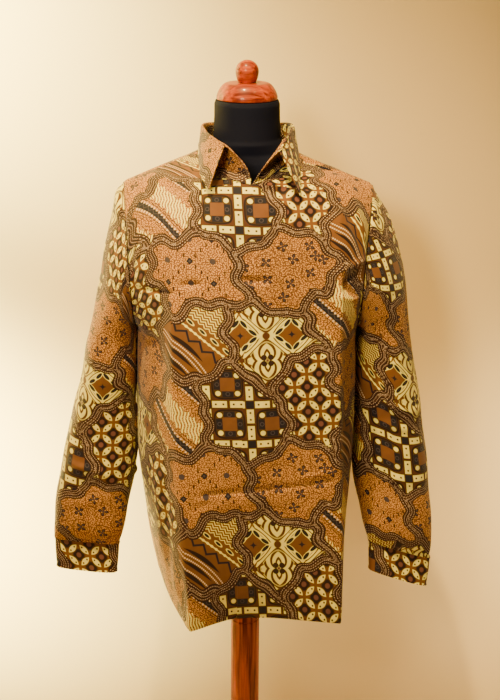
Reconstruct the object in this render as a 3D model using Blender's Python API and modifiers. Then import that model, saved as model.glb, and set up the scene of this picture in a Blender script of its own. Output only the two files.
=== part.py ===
"""Batik shirt on a limbless dress form: construction model, metres, +Z up, front towards -Y.

The origin is the middle of the base's underside. Left and right in the names below are
the sides as seen from the front, so left is -X.
"""
import math

import bpy
from mathutils import Vector

# ---------------------------------------------------------------- driving dimensions
CLOTH_WALL = 0.0012        # wall of every cloth piece
SEAM_GAP = 0.0003          # space between two pieces at a seam
LAYER_STEP = 0.0023        # how far the upper front stands off the lower one
FLY_WIDTH = 0.030          # overlap of the two fronts
OVERLAP_FADE = 0.030       # width over which the upper front settles back down
CREASE_ROUND = 0.09        # share of a half row that rounds the pressed crease
SLEEVE_SIDES = 20
SLEEVE_CLEARANCE = 0.0007  # space between a sleeve's head and the armhole
SLEEVE_SQUARENESS = 0.85   # below 1 the sleeve's section is fuller than an oval
CREASE_SKEW = 0.0080       # the front creases at the armpit are turned by this much
BACK_CREASE_INSET = 0.0100
BACK_BULGE = 0.0060
COLLAR_CLEARANCE = 0.0007  # space between the stand and the leaf at the fold

FORM_BOTTOM = 0.7800
NECK_RADIUS = 0.0515
CAP_RADIUS = 0.0480
CAP_BOTTOM = 1.5270
CAP_HEIGHT = 0.0250
CAP_SHOULDER = 0.0170      # radius of the cap's rounded shoulder
CAP_RIM = 0.0040           # straight rim below the shoulder
KNOB_RADIUS = 0.0182
KNOB_HEIGHT = 0.0345
POLE_RADIUS = 0.0262
POLE_TOP = FORM_BOTTOM - SEAM_GAP
POLE_FLARE = 0.0080        # the pole's foot spreads by this much
GROOVE_HEIGHT = 0.5900
GROOVE_DEPTH = 0.0016
BASE_RADIUS = 0.2100
BASE_HEIGHT = 0.0260
BASE_EDGE = 0.0080
TURNED_SIDES = 32

# Rows of the shirt body from hem to armpit. Columns: height, centre front x and y, front
# creases x and y (left, right), side seams x and y (left, right), back creases x (left, right),
# back y, outward bulge of the side planes (left, right).
BODY_COLUMNS = ("z", "mid_x", "mid_y", "crease_lx", "crease_ly", "crease_rx", "crease_ry",
                "side_lx", "side_ly", "side_rx", "side_ry", "back_lx", "back_rx", "back_y",
                "bulge_l", "bulge_r")
BODY_ROWS = (
    (0.675, 0.0015, -0.138, -0.091, -0.183, 0.164, -0.157, -0.158, 0.030, 0.166, 0.035,
     -0.118, 0.130, 0.128, 0.006, 0.004),
    (0.735, 0.0025, -0.145, -0.094, -0.178, 0.162, -0.154, -0.168, 0.030, 0.168, 0.033,
     -0.125, 0.133, 0.130, 0.009, 0.004),
    (0.800, 0.004, -0.150, -0.098, -0.173, 0.160, -0.151, -0.176, 0.024, 0.171, 0.028,
     -0.130, 0.136, 0.131, 0.012, 0.004),
    (0.930, 0.007, -0.157, -0.106, -0.167, 0.155, -0.147, -0.186, 0.010, 0.180, 0.014,
     -0.136, 0.139, 0.130, 0.018, 0.010),
    (1.040, 0.010, -0.160, -0.110, -0.163, 0.151, -0.145, -0.185, 0.004, 0.181, 0.005,
     -0.138, 0.140, 0.126, 0.017, 0.012),
    (1.155, 0.014, -0.160, -0.113, -0.158, 0.148, -0.143, -0.180, 0.000, 0.180, 0.000,
     -0.140, 0.141, 0.120, 0.010, 0.009),
)

# Rows above the armpit, of the fronts and the back. Columns: middle x, inner edge x (from the
# middle), y, z (the middle, then the neckline), crease x (left, right), y, z, armhole x, y, z,
# outward bulge between crease and armhole.
UPPER_COLUMNS = ("mid_x", "in_x", "in_y", "in_z", "crease_lx", "crease_rx", "crease_y", "crease_z",
                 "out_x", "out_y", "out_z", "bulge")
FRONT_ROWS = (
    (0.014, 0.000, -0.160, 1.155, -0.113, 0.148, -0.150, 1.155, 0.180, 0.000, 1.155, 0.009),
    (0.016, 0.000, -0.159, 1.215, -0.113, 0.148, -0.147, 1.210, 0.181, -0.056, 1.178, 0.008),
    (0.018, 0.000, -0.155, 1.275, -0.112, 0.147, -0.139, 1.265, 0.183, -0.090, 1.230, 0.006),
    (0.019, 0.000, -0.147, 1.330, -0.113, 0.145, -0.125, 1.318, 0.187, -0.088, 1.292, 0.005),
    (0.016, 0.000, -0.135, 1.380, -0.115, 0.143, -0.103, 1.360, 0.193, -0.064, 1.342, 0.005),
    (0.007, 0.000, -0.117, 1.415, -0.120, 0.140, -0.073, 1.392, 0.198, -0.038, 1.373, 0.004),
    (0.003, 0.038, -0.085, 1.424, -0.129, 0.138, -0.042, 1.413, 0.200, -0.018, 1.389, 0.002),
    (0.001, 0.065, -0.043, 1.436, -0.135, 0.137, -0.019, 1.422, 0.201, -0.008, 1.394, 0.001),
    (0.000, 0.079, -0.003, 1.444, -0.137, 0.137, -0.003, 1.423, 0.201, -0.003, 1.396, 0.000),
)
BACK_ROWS = (
    (0.000, 0.000, 0.120, 1.155, -0.140, 0.141, 0.110, 1.155, 0.180, 0.000, 1.155, 0.006),
    (0.000, 0.000, 0.121, 1.215, -0.140, 0.141, 0.110, 1.210, 0.181, 0.046, 1.178, 0.006),
    (0.000, 0.000, 0.120, 1.275, -0.140, 0.141, 0.107, 1.268, 0.184, 0.076, 1.230, 0.005),
    (0.000, 0.000, 0.116, 1.335, -0.140, 0.141, 0.098, 1.325, 0.188, 0.074, 1.292, 0.004),
    (0.000, 0.000, 0.106, 1.386, -0.139, 0.140, 0.081, 1.368, 0.194, 0.053, 1.342, 0.003),
    (0.000, 0.000, 0.090, 1.424, -0.138, 0.139, 0.057, 1.399, 0.198, 0.031, 1.373, 0.002),
    (0.000, 0.000, 0.067, 1.450, -0.137, 0.138, 0.032, 1.415, 0.200, 0.014, 1.389, 0.001),
    (0.000, 0.047, 0.050, 1.450, -0.137, 0.137, 0.013, 1.421, 0.201, 0.005, 1.394, 0.000),
    (0.000, 0.079, -0.003, 1.444, -0.137, 0.137, -0.003, 1.423, 0.201, -0.003, 1.396, 0.000),
)
NECK_ROW = 5               # upper row where the front edge turns into the neckline
SIDE_SHIFT_LEFT = 0.005    # the left shoulder and armhole lie this much nearer the middle
SHOULDER_DROP_RIGHT = 0.004

# Sleeve rows below the armhole. Columns: middle x, y, z, half width, half depth, lean of the
# row in the front view (degrees, + lowers the outer end), turn about the sleeve (degrees).
SLEEVE_COLUMNS = ("x", "y", "z", "half_w", "half_d", "lean", "turn")
SLEEVE_ROWS_LEFT = (
    (-0.2235, -0.014, 1.150, 0.0380, 0.066, 12.0, 0.0),
    (-0.2350, -0.014, 1.060, 0.0455, 0.060, 6.0, 3.0),
    (-0.2475, -0.018, 0.970, 0.0560, 0.050, 0.0, 4.0),
    (-0.2540, -0.026, 0.905, 0.0630, 0.043, -2.0, 4.0),
    (-0.2640, -0.034, 0.850, 0.0635, 0.037, -4.0, 3.0),
    (-0.2715, -0.042, 0.800, 0.0600, 0.030, -5.0, 1.0),
    (-0.2755, -0.046, 0.774, 0.0560, 0.018, -6.0, 0.0),
)
SLEEVE_ROWS_RIGHT = (
    (0.2310, -0.004, 1.150, 0.0440, 0.066, 12.0, 0.0),
    (0.2380, -0.008, 1.060, 0.0510, 0.060, 8.0, -3.0),
    (0.2475, -0.014, 0.970, 0.0590, 0.050, 8.0, -4.0),
    (0.2510, -0.020, 0.895, 0.0660, 0.043, 10.0, -4.0),
    (0.2600, -0.028, 0.835, 0.0660, 0.037, 13.0, -3.0),
    (0.2680, -0.036, 0.785, 0.0620, 0.030, 16.0, 0.0),
    (0.2700, -0.040, 0.757, 0.0570, 0.018, 17.5, 0.0),
)
CAP_FULLNESS = {-1: 0.30, 1: 1.00}     # how far the head of each sleeve stands out
CUFF_HEIGHT = 0.052
CUFF_GAP = 0.0011
CUFF_TAPER = 0.0035        # the cuff's lower edge is this much narrower on each side
CUFF_DRIFT = {-1: -0.0020, 1: -0.0010}  # sideways shift of each cuff's lower edge
CUFF_FORWARD = -0.006

# Collar rows from the front end round to the middle of the back. Columns: stand's lower edge
# x, y, z, fold x, y, z, leaf's lower edge x, y, z.
COLLAR_COLUMNS = ("low_x", "low_y", "low_z", "fold_x", "fold_y", "fold_z",
                  "edge_lx", "edge_rx", "edge_y", "edge_lz", "edge_rz")
COLLAR_ROWS = (
    (0.002, -0.1200, 1.4170, 0.0400, -0.0970, 1.4660, 0.065, 0.073, -0.1180, 1.4085, 1.4005),
    (0.020, -0.1070, 1.4200, 0.0480, -0.0820, 1.4715, 0.067, 0.077, -0.1050, 1.4142, 1.4082),
    (0.040, -0.0830, 1.4270, 0.0570, -0.0600, 1.4765, 0.072, 0.080, -0.0800, 1.4224, 1.4204),
    (0.063, -0.0450, 1.4390, 0.0650, -0.0320, 1.4800, 0.076, 0.081, -0.0420, 1.4360, 1.4360),
    (0.072, -0.0060, 1.4500, 0.0695, 0.0005, 1.4815, 0.078, 0.080, 0.0020, 1.4480, 1.4480),
    (0.065, 0.0340, 1.4560, 0.0620, 0.0360, 1.4790, 0.076, 0.076, 0.0450, 1.4520, 1.4520),
    (0.040, 0.0560, 1.4560, 0.0390, 0.0560, 1.4750, 0.049, 0.049, 0.0710, 1.4520, 1.4520),
    (0.000, 0.0690, 1.4560, 0.0000, 0.0650, 1.4730, 0.000, 0.000, 0.0830, 1.4520, 1.4520),
)
STAND_BULGE = {-1: 0.010, 1: 0.003}    # the stand's front ends curve in towards the middle by this
COLLAR_TILT = 0.004        # the fold's front ends sit this much higher on the left, lower on the right
FOLD_ROUND = 0.0024        # half width of the collar's fold
LEAF_SWELL = 0.0050        # how far the leaf's front part bows outwards
COLLAR_SHIFT = 0.001       # the collar sits this much to the right of the neck's middle
COLLAR_END_SHIFT = 0.008   # and its front ends this much

# Dress form rows. Columns: height, half width, half depth, middle y.
FORM_COLUMNS = ("z", "half_w", "half_d", "y")
FORM_ROWS = (
    (FORM_BOTTOM, 0.110, 0.085, 0.000),
    (0.790, 0.135, 0.102, 0.000),
    (0.830, 0.152, 0.112, 0.000),
    (0.900, 0.158, 0.116, -0.002),
    (1.000, 0.148, 0.108, -0.006),
    (1.080, 0.146, 0.108, -0.012),
    (1.180, 0.158, 0.118, -0.016),
    (1.270, 0.168, 0.119, -0.016),
    (1.330, 0.177, 0.104, -0.010),
    (1.360, 0.183, 0.088, -0.007),
    (1.380, 0.187, 0.068, -0.004),
    (1.392, 0.184, 0.056, -0.002),
    (1.404, 0.168, 0.046, 0.000),
    (1.418, 0.137, 0.046, 0.000),
    (1.432, 0.102, 0.046, 0.000),
    (1.446, 0.0655, 0.044, 0.000),
    (1.462, 0.0560, 0.0540, 0.000),
    (1.468, 0.0535, 0.0525, 0.000),
    (1.500, 0.0518, 0.0515, 0.000),
    (1.520, NECK_RADIUS, NECK_RADIUS, 0.000),
    (1.5255, 0.0495, 0.0495, 0.000),
    (1.5265, 0.0460, 0.0460, 0.000),
)
FORM_SIDES = 28


# ---------------------------------------------------------------- small helpers
def named(columns, rows):
    return [dict(zip(columns, row)) for row in rows]


BODY = named(BODY_COLUMNS, BODY_ROWS)
FRONT_UPPER = named(UPPER_COLUMNS, FRONT_ROWS)
BACK_UPPER = named(UPPER_COLUMNS, BACK_ROWS)
COLLAR = named(COLLAR_COLUMNS, COLLAR_ROWS)


def through(values, place):
    """A smooth curve through equally spaced values, read at a place along them."""
    last = len(values) - 1
    index = min(int(place), last - 1)
    t = place - index
    b, c = values[index], values[index + 1]
    a = values[index - 1] if index > 0 else b + (b - c)
    d = values[index + 2] if index < last - 1 else c + (c - b)
    return 0.5 * (2 * b + (c - a) * t + (2 * a - 5 * b + 4 * c - d) * t * t
                  + (3 * b - a - 3 * c + d) * t ** 3)


def column(rows, key, place):
    return through([row[key] for row in rows], place)


def point(rows, keys, place):
    return Vector([column(rows, key, place) for key in keys])


def hermite(start, end, leave, arrive, t):
    return ((2 * t ** 3 - 3 * t * t + 1) * start + (t ** 3 - 2 * t * t + t) * leave
            + (3 * t * t - 2 * t ** 3) * end + (t ** 3 - t * t) * arrive)


# ---------------------------------------------------------------- the body's surface
def body_controls(place, side, face):
    """Middle, crease and side points of one half row below the armpit, and its bulge."""
    tag = "l" if side < 0 else "r"
    z = column(BODY, "z", place)
    seam = Vector((column(BODY, "side_%sx" % tag, place), column(BODY, "side_%sy" % tag, place), z))
    if face == "front":
        middle = Vector((column(BODY, "mid_x", place), column(BODY, "mid_y", place), z))
        crease = Vector((column(BODY, "crease_%sx" % tag, place),
                         column(BODY, "crease_%sy" % tag, place), z))
        return middle, crease, seam, column(BODY, "bulge_%s" % tag, place)
    back_y = column(BODY, "back_y", place)
    middle = Vector((0.0, back_y, z))
    crease = Vector((column(BODY, "back_%sx" % tag, place), back_y - BACK_CREASE_INSET, z))
    return middle, crease, seam, BACK_BULGE


def upper_controls(place, side, face):
    """The same three points above the armpit, up to the shoulder seam."""
    rows = FRONT_UPPER if face == "front" else BACK_UPPER
    tag = "l" if side < 0 else "r"
    top = len(rows) - 1
    if place <= NECK_ROW or face == "back" and place <= NECK_ROW + 1:
        inner_x = 0.0
    else:
        inner_x = column(rows, "in_x", place)
    middle = Vector((column(rows, "mid_x", place) + side * inner_x, column(rows, "in_y", place),
                     column(rows, "in_z", place)))
    crease = Vector((column(rows, "crease_%sx" % tag, place), column(rows, "crease_y", place),
                     column(rows, "crease_z", place)))
    if face == "front":
        crease.y += CREASE_SKEW * side * max(0.0, 1.0 - place / 3.0)
    out_x = column(rows, "out_x", place)
    seam = Vector((side * out_x, column(rows, "out_y", place), column(rows, "out_z", place)))
    rise = min(1.0, place / NECK_ROW)
    if side < 0:
        seam.x += SIDE_SHIFT_LEFT * rise
    else:
        seam.z -= SHOULDER_DROP_RIGHT * rise
    straight = max(0.0, place - top + 2) / 2
    on_line = middle.lerp(seam, (crease.x - middle.x) / (seam.x - middle.x))
    crease.z += (on_line.z - crease.z) * straight
    return middle, crease, seam, column(rows, "bulge", place)


BODY_TOP = len(BODY_ROWS) - 1
ALL_TOP = BODY_TOP + len(FRONT_ROWS) - 1


def body_point(level, s, side, face):
    """A point of the shirt body.

    level runs from 0 at the hem to ALL_TOP at the shoulder seam. s is 0 at the middle (or
    the neckline), 1 at the pressed crease and 2 at the side seam or the armhole.
    """
    if level <= BODY_TOP:
        middle, crease, seam, bulge = body_controls(level, side, face)
        _, other, _, _ = body_controls(level, -side, face)
    else:
        middle, crease, seam, bulge = upper_controls(level - BODY_TOP, side, face)
        _, other, _, _ = upper_controls(level - BODY_TOP, -side, face)
    open_edge = level - BODY_TOP > NECK_ROW + (1 if face == "back" else 0)
    chord = crease - middle
    leave = chord.copy() if open_edge else (crease - other) * 0.5
    leave *= chord.length / max(leave.length, 1e-6)

    def raw(at):
        if at <= 1.0:
            return hermite(middle, crease, leave, chord, at)
        outward = Vector((seam.y - crease.y, crease.x - seam.x, 0.0))
        if outward.x * side < 0:
            outward.negate()
        outward.normalize()
        t = at - 1.0
        return crease.lerp(seam, t) + outward * bulge * 4 * t * (1 - t)

    gap = abs(s - 1.0)
    if gap >= CREASE_ROUND:
        return raw(s)
    before, after = raw(1.0 - CREASE_ROUND), raw(1.0 + CREASE_ROUND)
    t = (s - 1.0 + CREASE_ROUND) / (2 * CREASE_ROUND)
    return before.lerp(crease, t).lerp(crease.lerp(after, t), t)


def front_point(level, s, side):
    """As body_point on the front, where a negative s reaches onto the other half."""
    if s < 0:
        return body_point(level, -s, -side, "front")
    return body_point(level, s, side, "front")


# ---------------------------------------------------------------- making pieces
for old in list(bpy.data.objects):
    bpy.data.objects.remove(old, do_unlink=True)
parts = bpy.data.collections.new("batik_shirt_on_dress_form")
bpy.context.scene.collection.children.link(parts)


def material(name, colour, roughness, metallic=0.0):
    made = bpy.data.materials.new(name)
    made.use_nodes = True
    shader = made.node_tree.nodes["Principled BSDF"]
    shader.inputs["Base Color"].default_value = (*colour, 1.0)
    shader.inputs["Roughness"].default_value = roughness
    shader.inputs["Metallic"].default_value = metallic
    return made


def add_object(name, vertices, faces, look):
    mesh = bpy.data.meshes.new(name)
    mesh.from_pydata([tuple(v) for v in vertices], [], faces)
    mesh.update()
    mesh.materials.append(look)
    made = bpy.data.objects.new(name, mesh)
    parts.objects.link(made)
    return made


def thicken(piece, even=True):
    solid = piece.modifiers.new("wall", "SOLIDIFY")
    solid.thickness = CLOTH_WALL
    solid.offset = 1.0
    solid.use_even_offset = even
    return piece


def sheet(name, grid, look, closed=False, even=True):
    """An open surface through rows of points, given a cloth wall. Faces point outwards."""
    rows, across = len(grid), len(grid[0])
    vertices = [p for row in grid for p in row]
    faces = []
    for r in range(rows - 1):
        for c in range(across if closed else across - 1):
            d = (c + 1) % across
            faces.append((r * across + c, r * across + d, (r + 1) * across + d, (r + 1) * across + c))
    return thicken(add_object(name, vertices, faces, look), even)


def turned(name, profile, look):
    """A turned solid. The profile runs from the top of the axis down to the bottom of it."""
    vertices = [(radius, 0.0, z) for radius, z in profile]
    mesh = bpy.data.meshes.new(name)
    mesh.from_pydata(vertices, [(i, i + 1) for i in range(len(vertices) - 1)], [])
    mesh.materials.append(look)
    made = bpy.data.objects.new(name, mesh)
    parts.objects.link(made)
    screw = made.modifiers.new("turn", "SCREW")
    screw.steps = screw.render_steps = TURNED_SIDES
    screw.use_merge_vertices = True
    screw.merge_threshold = 0.00002
    return made


batik = material("batik_cotton", (0.26, 0.12, 0.04), 0.85)
black_cloth = material("black_form_cloth", (0.012, 0.012, 0.015), 0.9)
varnished = material("varnished_wood", (0.42, 0.09, 0.02), 0.25)

# The columns of a half row, closer together at the crease.
HALF = (0.0, 0.33, 0.66, 0.88, 0.95, 1.05, 1.12, 1.4, 1.7, 2.0)
LEVELS = (0, 0.6, 1.2, 2, 2.5, 3, 3.5, 4, 4.5, 5,
          5.5, 6, 6.6, 7.2, 7.8, 8.4, 9, 9.5, 10, 10.5, 11, 12, 13)


def seam_inset(level, s_end, side, face):
    """The column value that leaves half a seam gap before the side seam or armhole."""
    step = 0.02
    length = (body_point(level, s_end, side, face) - body_point(level, s_end - step, side, face)).length
    return s_end - step * (0.5 * SEAM_GAP / length)


def shoulder_level(level, s, side, face):
    """The top row stops short of the shoulder seam by half a seam gap."""
    if level < ALL_TOP:
        return level
    step = 0.05
    length = (body_point(level, s, side, face) - body_point(level - step, s, side, face)).length
    return level - step * 0.5 * SEAM_GAP / length


def front_panel(name, side, over):
    grid = []
    for level in LEVELS:
        row = []
        columns = list(HALF)
        columns[-1] = seam_inset(level, 2.0, side, "front")
        half = (front_point(level, 1.0, -side) - front_point(level, 0.0, -side)).length
        upper = level - BODY_TOP
        closed_front = upper <= NECK_ROW
        reach = 0.5 * FLY_WIDTH / half
        if closed_front:
            pull = min(1.0, max(0.0, NECK_ROW - upper) / 1.5)
            columns[0] = -reach * pull
            columns[1:1] = [0.5 * reach * pull + 0.02, 0.2]
        else:
            columns[1:1] = [0.08, 0.2]
        for s in columns:
            spot = front_point(shoulder_level(level, s, side, "front"), s, side)
            if over and closed_front:
                along = (spot - front_point(level, 0.0, side)).length * (1 if s > 0 else -1)
                rest = min(1.0, max(0.0, (along - 0.5 * FLY_WIDTH) / OVERLAP_FADE))
                spot = spot + Vector((0.0, -LAYER_STEP * (1 - rest * rest * (3 - 2 * rest)), 0.0))
            elif over:
                spot = spot + Vector((0.0, -0.5 * LAYER_STEP * max(0.0, 1 - s), 0.0))
            row.append(spot)
        grid.append(row if side > 0 else row[::-1])
    return sheet(name, grid, batik)


def back_panel(name):
    """The back in two halves that share their middle column up to the neckline."""
    vertices, faces = [], []
    middle = {}
    for side in (-1, 1):
        index = {}
        for r, level in enumerate(LEVELS):
            columns = list(HALF)
            columns[-1] = seam_inset(level, 2.0, side, "back")
            for c, s in enumerate(columns):
                shared = c == 0 and level <= BODY_TOP + NECK_ROW + 1
                if shared and r in middle:
                    index[r, c] = middle[r]
                    continue
                index[r, c] = len(vertices)
                vertices.append(body_point(shoulder_level(level, s, side, "back"), s, side, "back"))
                if shared:
                    middle[r] = index[r, c]
        for r in range(len(LEVELS) - 1):
            for c in range(len(HALF) - 1):
                loop = [index[r, c], index[r, c + 1], index[r + 1, c + 1], index[r + 1, c]]
                faces.append(loop if side < 0 else loop[::-1])
    return thicken(add_object(name, vertices, faces, batik))


# ---------------------------------------------------------------- sleeves and cuffs
def armhole(side, count, s):
    """A loop along the armhole's edge (s of 2): from the tip down the front, up the back."""
    loop = []
    half = count // 2
    for i in range(count):
        share = i / half if i <= half else (count - i) / half
        face = "front" if i <= half else "back"
        level = ALL_TOP - share * (ALL_TOP - BODY_TOP)
        loop.append(body_point(level, s, side, face))
    return loop


def even_loop(loop, count):
    """The same closed loop with its points evenly spaced, starting at its first point."""
    lengths = [0.0]
    for i in range(len(loop)):
        lengths.append(lengths[-1] + (loop[(i + 1) % len(loop)] - loop[i]).length)
    spaced = []
    for k in range(count):
        want = lengths[-1] * k / count
        i = max(j for j in range(len(loop)) if lengths[j] <= want + 1e-9)
        t = (want - lengths[i]) / (lengths[i + 1] - lengths[i])
        spaced.append(loop[i].lerp(loop[(i + 1) % len(loop)], t))
    return spaced


def oval(row, side, angle):
    """A point of a sleeve row: angle 0 is its outer end, 90 degrees its front."""
    turn, lean = math.radians(row["turn"]) * side, math.radians(row["lean"])
    a = math.copysign(abs(math.cos(angle)) ** SLEEVE_SQUARENESS, math.cos(angle)) * row["half_w"]
    b = -math.copysign(abs(math.sin(angle)) ** SLEEVE_SQUARENESS, math.sin(angle)) * row["half_d"]
    across = a * math.cos(turn) - b * math.sin(turn)
    deep = a * math.sin(turn) + b * math.cos(turn)
    return Vector((row["x"] + side * across * math.cos(lean), row["y"] + deep,
                   row["z"] - across * math.sin(lean)))


CAP_STEPS = (0.0, 0.08, 0.2, 0.36, 0.55, 0.77, 1.0)


def sleeve_row(rows, place, side, k):
    names = SLEEVE_COLUMNS
    table = named(names, rows)
    row = {key: column(table, key, place) for key in names}
    return oval(row, side, 2 * math.pi * k / SLEEVE_SIDES)


def sleeve_grid(side):
    rows = SLEEVE_ROWS_LEFT if side < 0 else SLEEVE_ROWS_RIGHT
    loop = even_loop(armhole(side, 64, 2.0), SLEEVE_SIDES)
    inner = even_loop(armhole(side, 64, 1.97), SLEEVE_SIDES)
    inward = [a - b for a, b in zip(inner, loop)]
    body_middle = Vector((0.0, 0.0, 1.25))
    grid = []
    for t in CAP_STEPS:
        ring = []
        for k in range(SLEEVE_SIDES):
            end = sleeve_row(rows, 0.0, side, k)
            below = sleeve_row(rows, 0.25, side, k)
            start = loop[k]
            length = (end - start).length
            outer = 0.5 + 0.5 * math.cos(2 * math.pi * k / SLEEVE_SIDES)
            leave = Vector((side * (1 - 0.45 * outer), 0.0, -0.3 - 0.55 * outer)).normalized()
            around = loop[(k + 1) % SLEEVE_SIDES] - loop[k - 1]
            facing = around.cross(inward[k]).normalized()
            if facing.dot(start - body_middle) < 0:
                facing.negate()
            lift = SLEEVE_CLEARANCE + 1.3 * CLOTH_WALL * max(0.0, facing.dot(leave))
            start = start + leave * lift
            drop = (below - end).normalized()
            ring.append(hermite(start, end, leave * length * (0.30 + CAP_FULLNESS[side] * outer),
                                drop * length * 0.9, t))
        grid.append(ring)
    steps = 2 * (len(rows) - 1)
    for step in range(1, steps + 1):
        grid.append([sleeve_row(rows, 0.5 * step, side, k) for k in range(SLEEVE_SIDES)])
    return grid


def sleeve(name, side):
    grid = sleeve_grid(side)
    return sheet(name, grid if side > 0 else [row[::-1] for row in grid], batik, closed=True)


def cuff(name, side):
    """A flat band hanging from the sleeve's last row."""
    last = named(SLEEVE_COLUMNS, SLEEVE_ROWS_LEFT if side < 0 else SLEEVE_ROWS_RIGHT)[-1]
    grid = []
    for share in (0.0, 0.35, 0.7, 1.0):
        row = dict(last, x=last["x"] + CUFF_DRIFT[side] * share, y=last["y"] + CUFF_FORWARD * share,
                   z=last["z"] - CUFF_GAP - CUFF_HEIGHT * share,
                   half_w=last["half_w"] - CUFF_TAPER * share)
        grid.append([oval(row, side, 2 * math.pi * k / SLEEVE_SIDES) for k in range(SLEEVE_SIDES)])
    return sheet(name, grid if side > 0 else [row[::-1] for row in grid], batik, closed=True)


# ---------------------------------------------------------------- collar
def collar_row(place, side, kind):
    if kind == "edge":
        tag = "l" if side < 0 else "r"
        keys = ("edge_%sx" % tag, "edge_y", "edge_%sz" % tag)
    else:
        keys = ["%s_%s" % (kind, axis) for axis in "xyz"]
    spot = point(COLLAR, keys, place)
    spot.x = spot.x * side + COLLAR_SHIFT + (COLLAR_END_SHIFT - COLLAR_SHIFT) * max(0.0, 1 - place / 2)
    if kind == "fold":
        spot.z -= side * COLLAR_TILT * max(0.0, 1 - place / 4)
    return spot


COLLAR_PLACES = [i * 0.5 for i in range(2 * (len(COLLAR_ROWS) - 1) + 1)]


def collar_stations():
    """Round the neck from the left front end to the right front end."""
    left = [(place, -1) for place in COLLAR_PLACES]
    right = [(place, 1) for place in reversed(COLLAR_PLACES[:-1])]
    return left + right


def collar_stand():
    grid = []
    for share in (0.0, 0.33, 0.66, 1.0):
        row = []
        for place, side in collar_stations():
            curve = STAND_BULGE[side] * 4 * share * (1 - share) * max(0.0, 1 - place / 2)
            spot = collar_row(place, side, "low").lerp(collar_row(place, side, "fold"), share)
            row.append(spot - Vector((side * curve, 0.0, 0.0)))
        grid.append(row)
    return sheet("collar_stand", [row[::-1] for row in grid], batik, even=False)


def collar_leaf():
    """The leaf leaves the fold above the stand, turns over and falls outside it."""
    grid = []
    for share in (0.0, 0.25, 0.5, 0.75, 1.0):
        row = []
        for place, side in collar_stations():
            fold = collar_row(place, side, "fold")
            low = collar_row(place, side, "low")
            edge = collar_row(place, side, "edge")
            up = (fold - low).normalized()
            ahead = collar_row(place + 0.05, side, "low") - collar_row(place - 0.05, side, "low")
            outward = up.cross(ahead).normalized() * -side
            start = fold + up * COLLAR_CLEARANCE
            crown = fold + up * 2 * FOLD_ROUND + outward * FOLD_ROUND
            turned_down = fold + outward * 2 * FOLD_ROUND
            if share == 0.0:
                row.append(start)
            elif share == 0.25:
                row.append(crown)
            else:
                fall = (share - 0.5) * 2
                swell = LEAF_SWELL * 4 * fall * (1 - fall) * max(0.0, 1 - place / 4)
                row.append(turned_down.lerp(edge, fall) + Vector((0.0, -swell, 0.4 * swell)))
        grid.append(row)
    return sheet("collar_leaf", grid, batik, even=False)


# ---------------------------------------------------------------- the dress form
def form_torso():
    rows = named(FORM_COLUMNS, FORM_ROWS)
    vertices, faces = [], []
    for row in rows:
        for k in range(FORM_SIDES):
            angle = 2 * math.pi * k / FORM_SIDES
            vertices.append(Vector((row["half_w"] * math.cos(angle),
                                    row["y"] + row["half_d"] * math.sin(angle), row["z"])))
    for r in range(len(rows) - 1):
        for k in range(FORM_SIDES):
            j = (k + 1) % FORM_SIDES
            a = r * FORM_SIDES
            faces.append((a + k, a + j, a + FORM_SIDES + j, a + FORM_SIDES + k))
    faces.append(tuple(reversed(range(FORM_SIDES))))
    top = (len(rows) - 1) * FORM_SIDES
    faces.append(tuple(top + k for k in range(FORM_SIDES)))
    return add_object("form_torso", vertices, faces, black_cloth)


def arc(centre_r, centre_z, radius_r, radius_z, start, end, count):
    return [(centre_r + radius_r * math.cos(math.radians(start + (end - start) * i / count)),
             centre_z + radius_z * math.sin(math.radians(start + (end - start) * i / count)))
            for i in range(count + 1)]


def neck_cap():
    top = CAP_BOTTOM + CAP_HEIGHT
    shoulder = arc(CAP_RADIUS - CAP_SHOULDER, CAP_BOTTOM + CAP_RIM, CAP_SHOULDER,
                   CAP_HEIGHT - CAP_RIM, 90, 0, 6)
    profile = [(0.0, top)] + shoulder + [(CAP_RADIUS, CAP_BOTTOM), (0.0, CAP_BOTTOM)]
    return turned("neck_cap", profile, varnished)


def finial():
    bottom = CAP_BOTTOM + CAP_HEIGHT + SEAM_GAP
    half = 0.5 * KNOB_HEIGHT
    ball = arc(0.0, bottom + half, KNOB_RADIUS, half, 90, -62, 9)
    profile = [(0.0, bottom + 2 * half)] + ball[1:] + [(ball[-1][0], bottom), (0.0, bottom)]
    return turned("finial", profile, varnished)


def pole():
    foot = BASE_HEIGHT + SEAM_GAP
    wide = POLE_RADIUS + POLE_FLARE
    profile = [(0.0, POLE_TOP), (POLE_RADIUS, POLE_TOP),
               (POLE_RADIUS, GROOVE_HEIGHT + GROOVE_DEPTH),
               (POLE_RADIUS - GROOVE_DEPTH, GROOVE_HEIGHT),
               (POLE_RADIUS, GROOVE_HEIGHT - GROOVE_DEPTH), (POLE_RADIUS, foot + 4 * POLE_FLARE),
               (wide, foot + POLE_FLARE), (wide, foot), (0.0, foot)]
    return turned("pole", profile, varnished)


def base():
    edge = arc(BASE_RADIUS - BASE_EDGE, BASE_HEIGHT - BASE_EDGE, BASE_EDGE, BASE_EDGE, 90, 0, 5)
    profile = [(0.0, BASE_HEIGHT)] + edge + [(BASE_RADIUS, 0.0), (0.0, 0.0)]
    return turned("base", profile, varnished)


front_panel("front_over", 1, True)
front_panel("front_under", -1, False)
back_panel("back")
sleeve("sleeve_left", -1)
sleeve("sleeve_right", 1)
cuff("cuff_left", -1)
cuff("cuff_right", 1)
collar_stand()
collar_leaf()
form_torso()
neck_cap()
finial()
pole()
base()
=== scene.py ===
import math

import bpy
import numpy as np
from mathutils import Matrix, Vector


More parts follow.
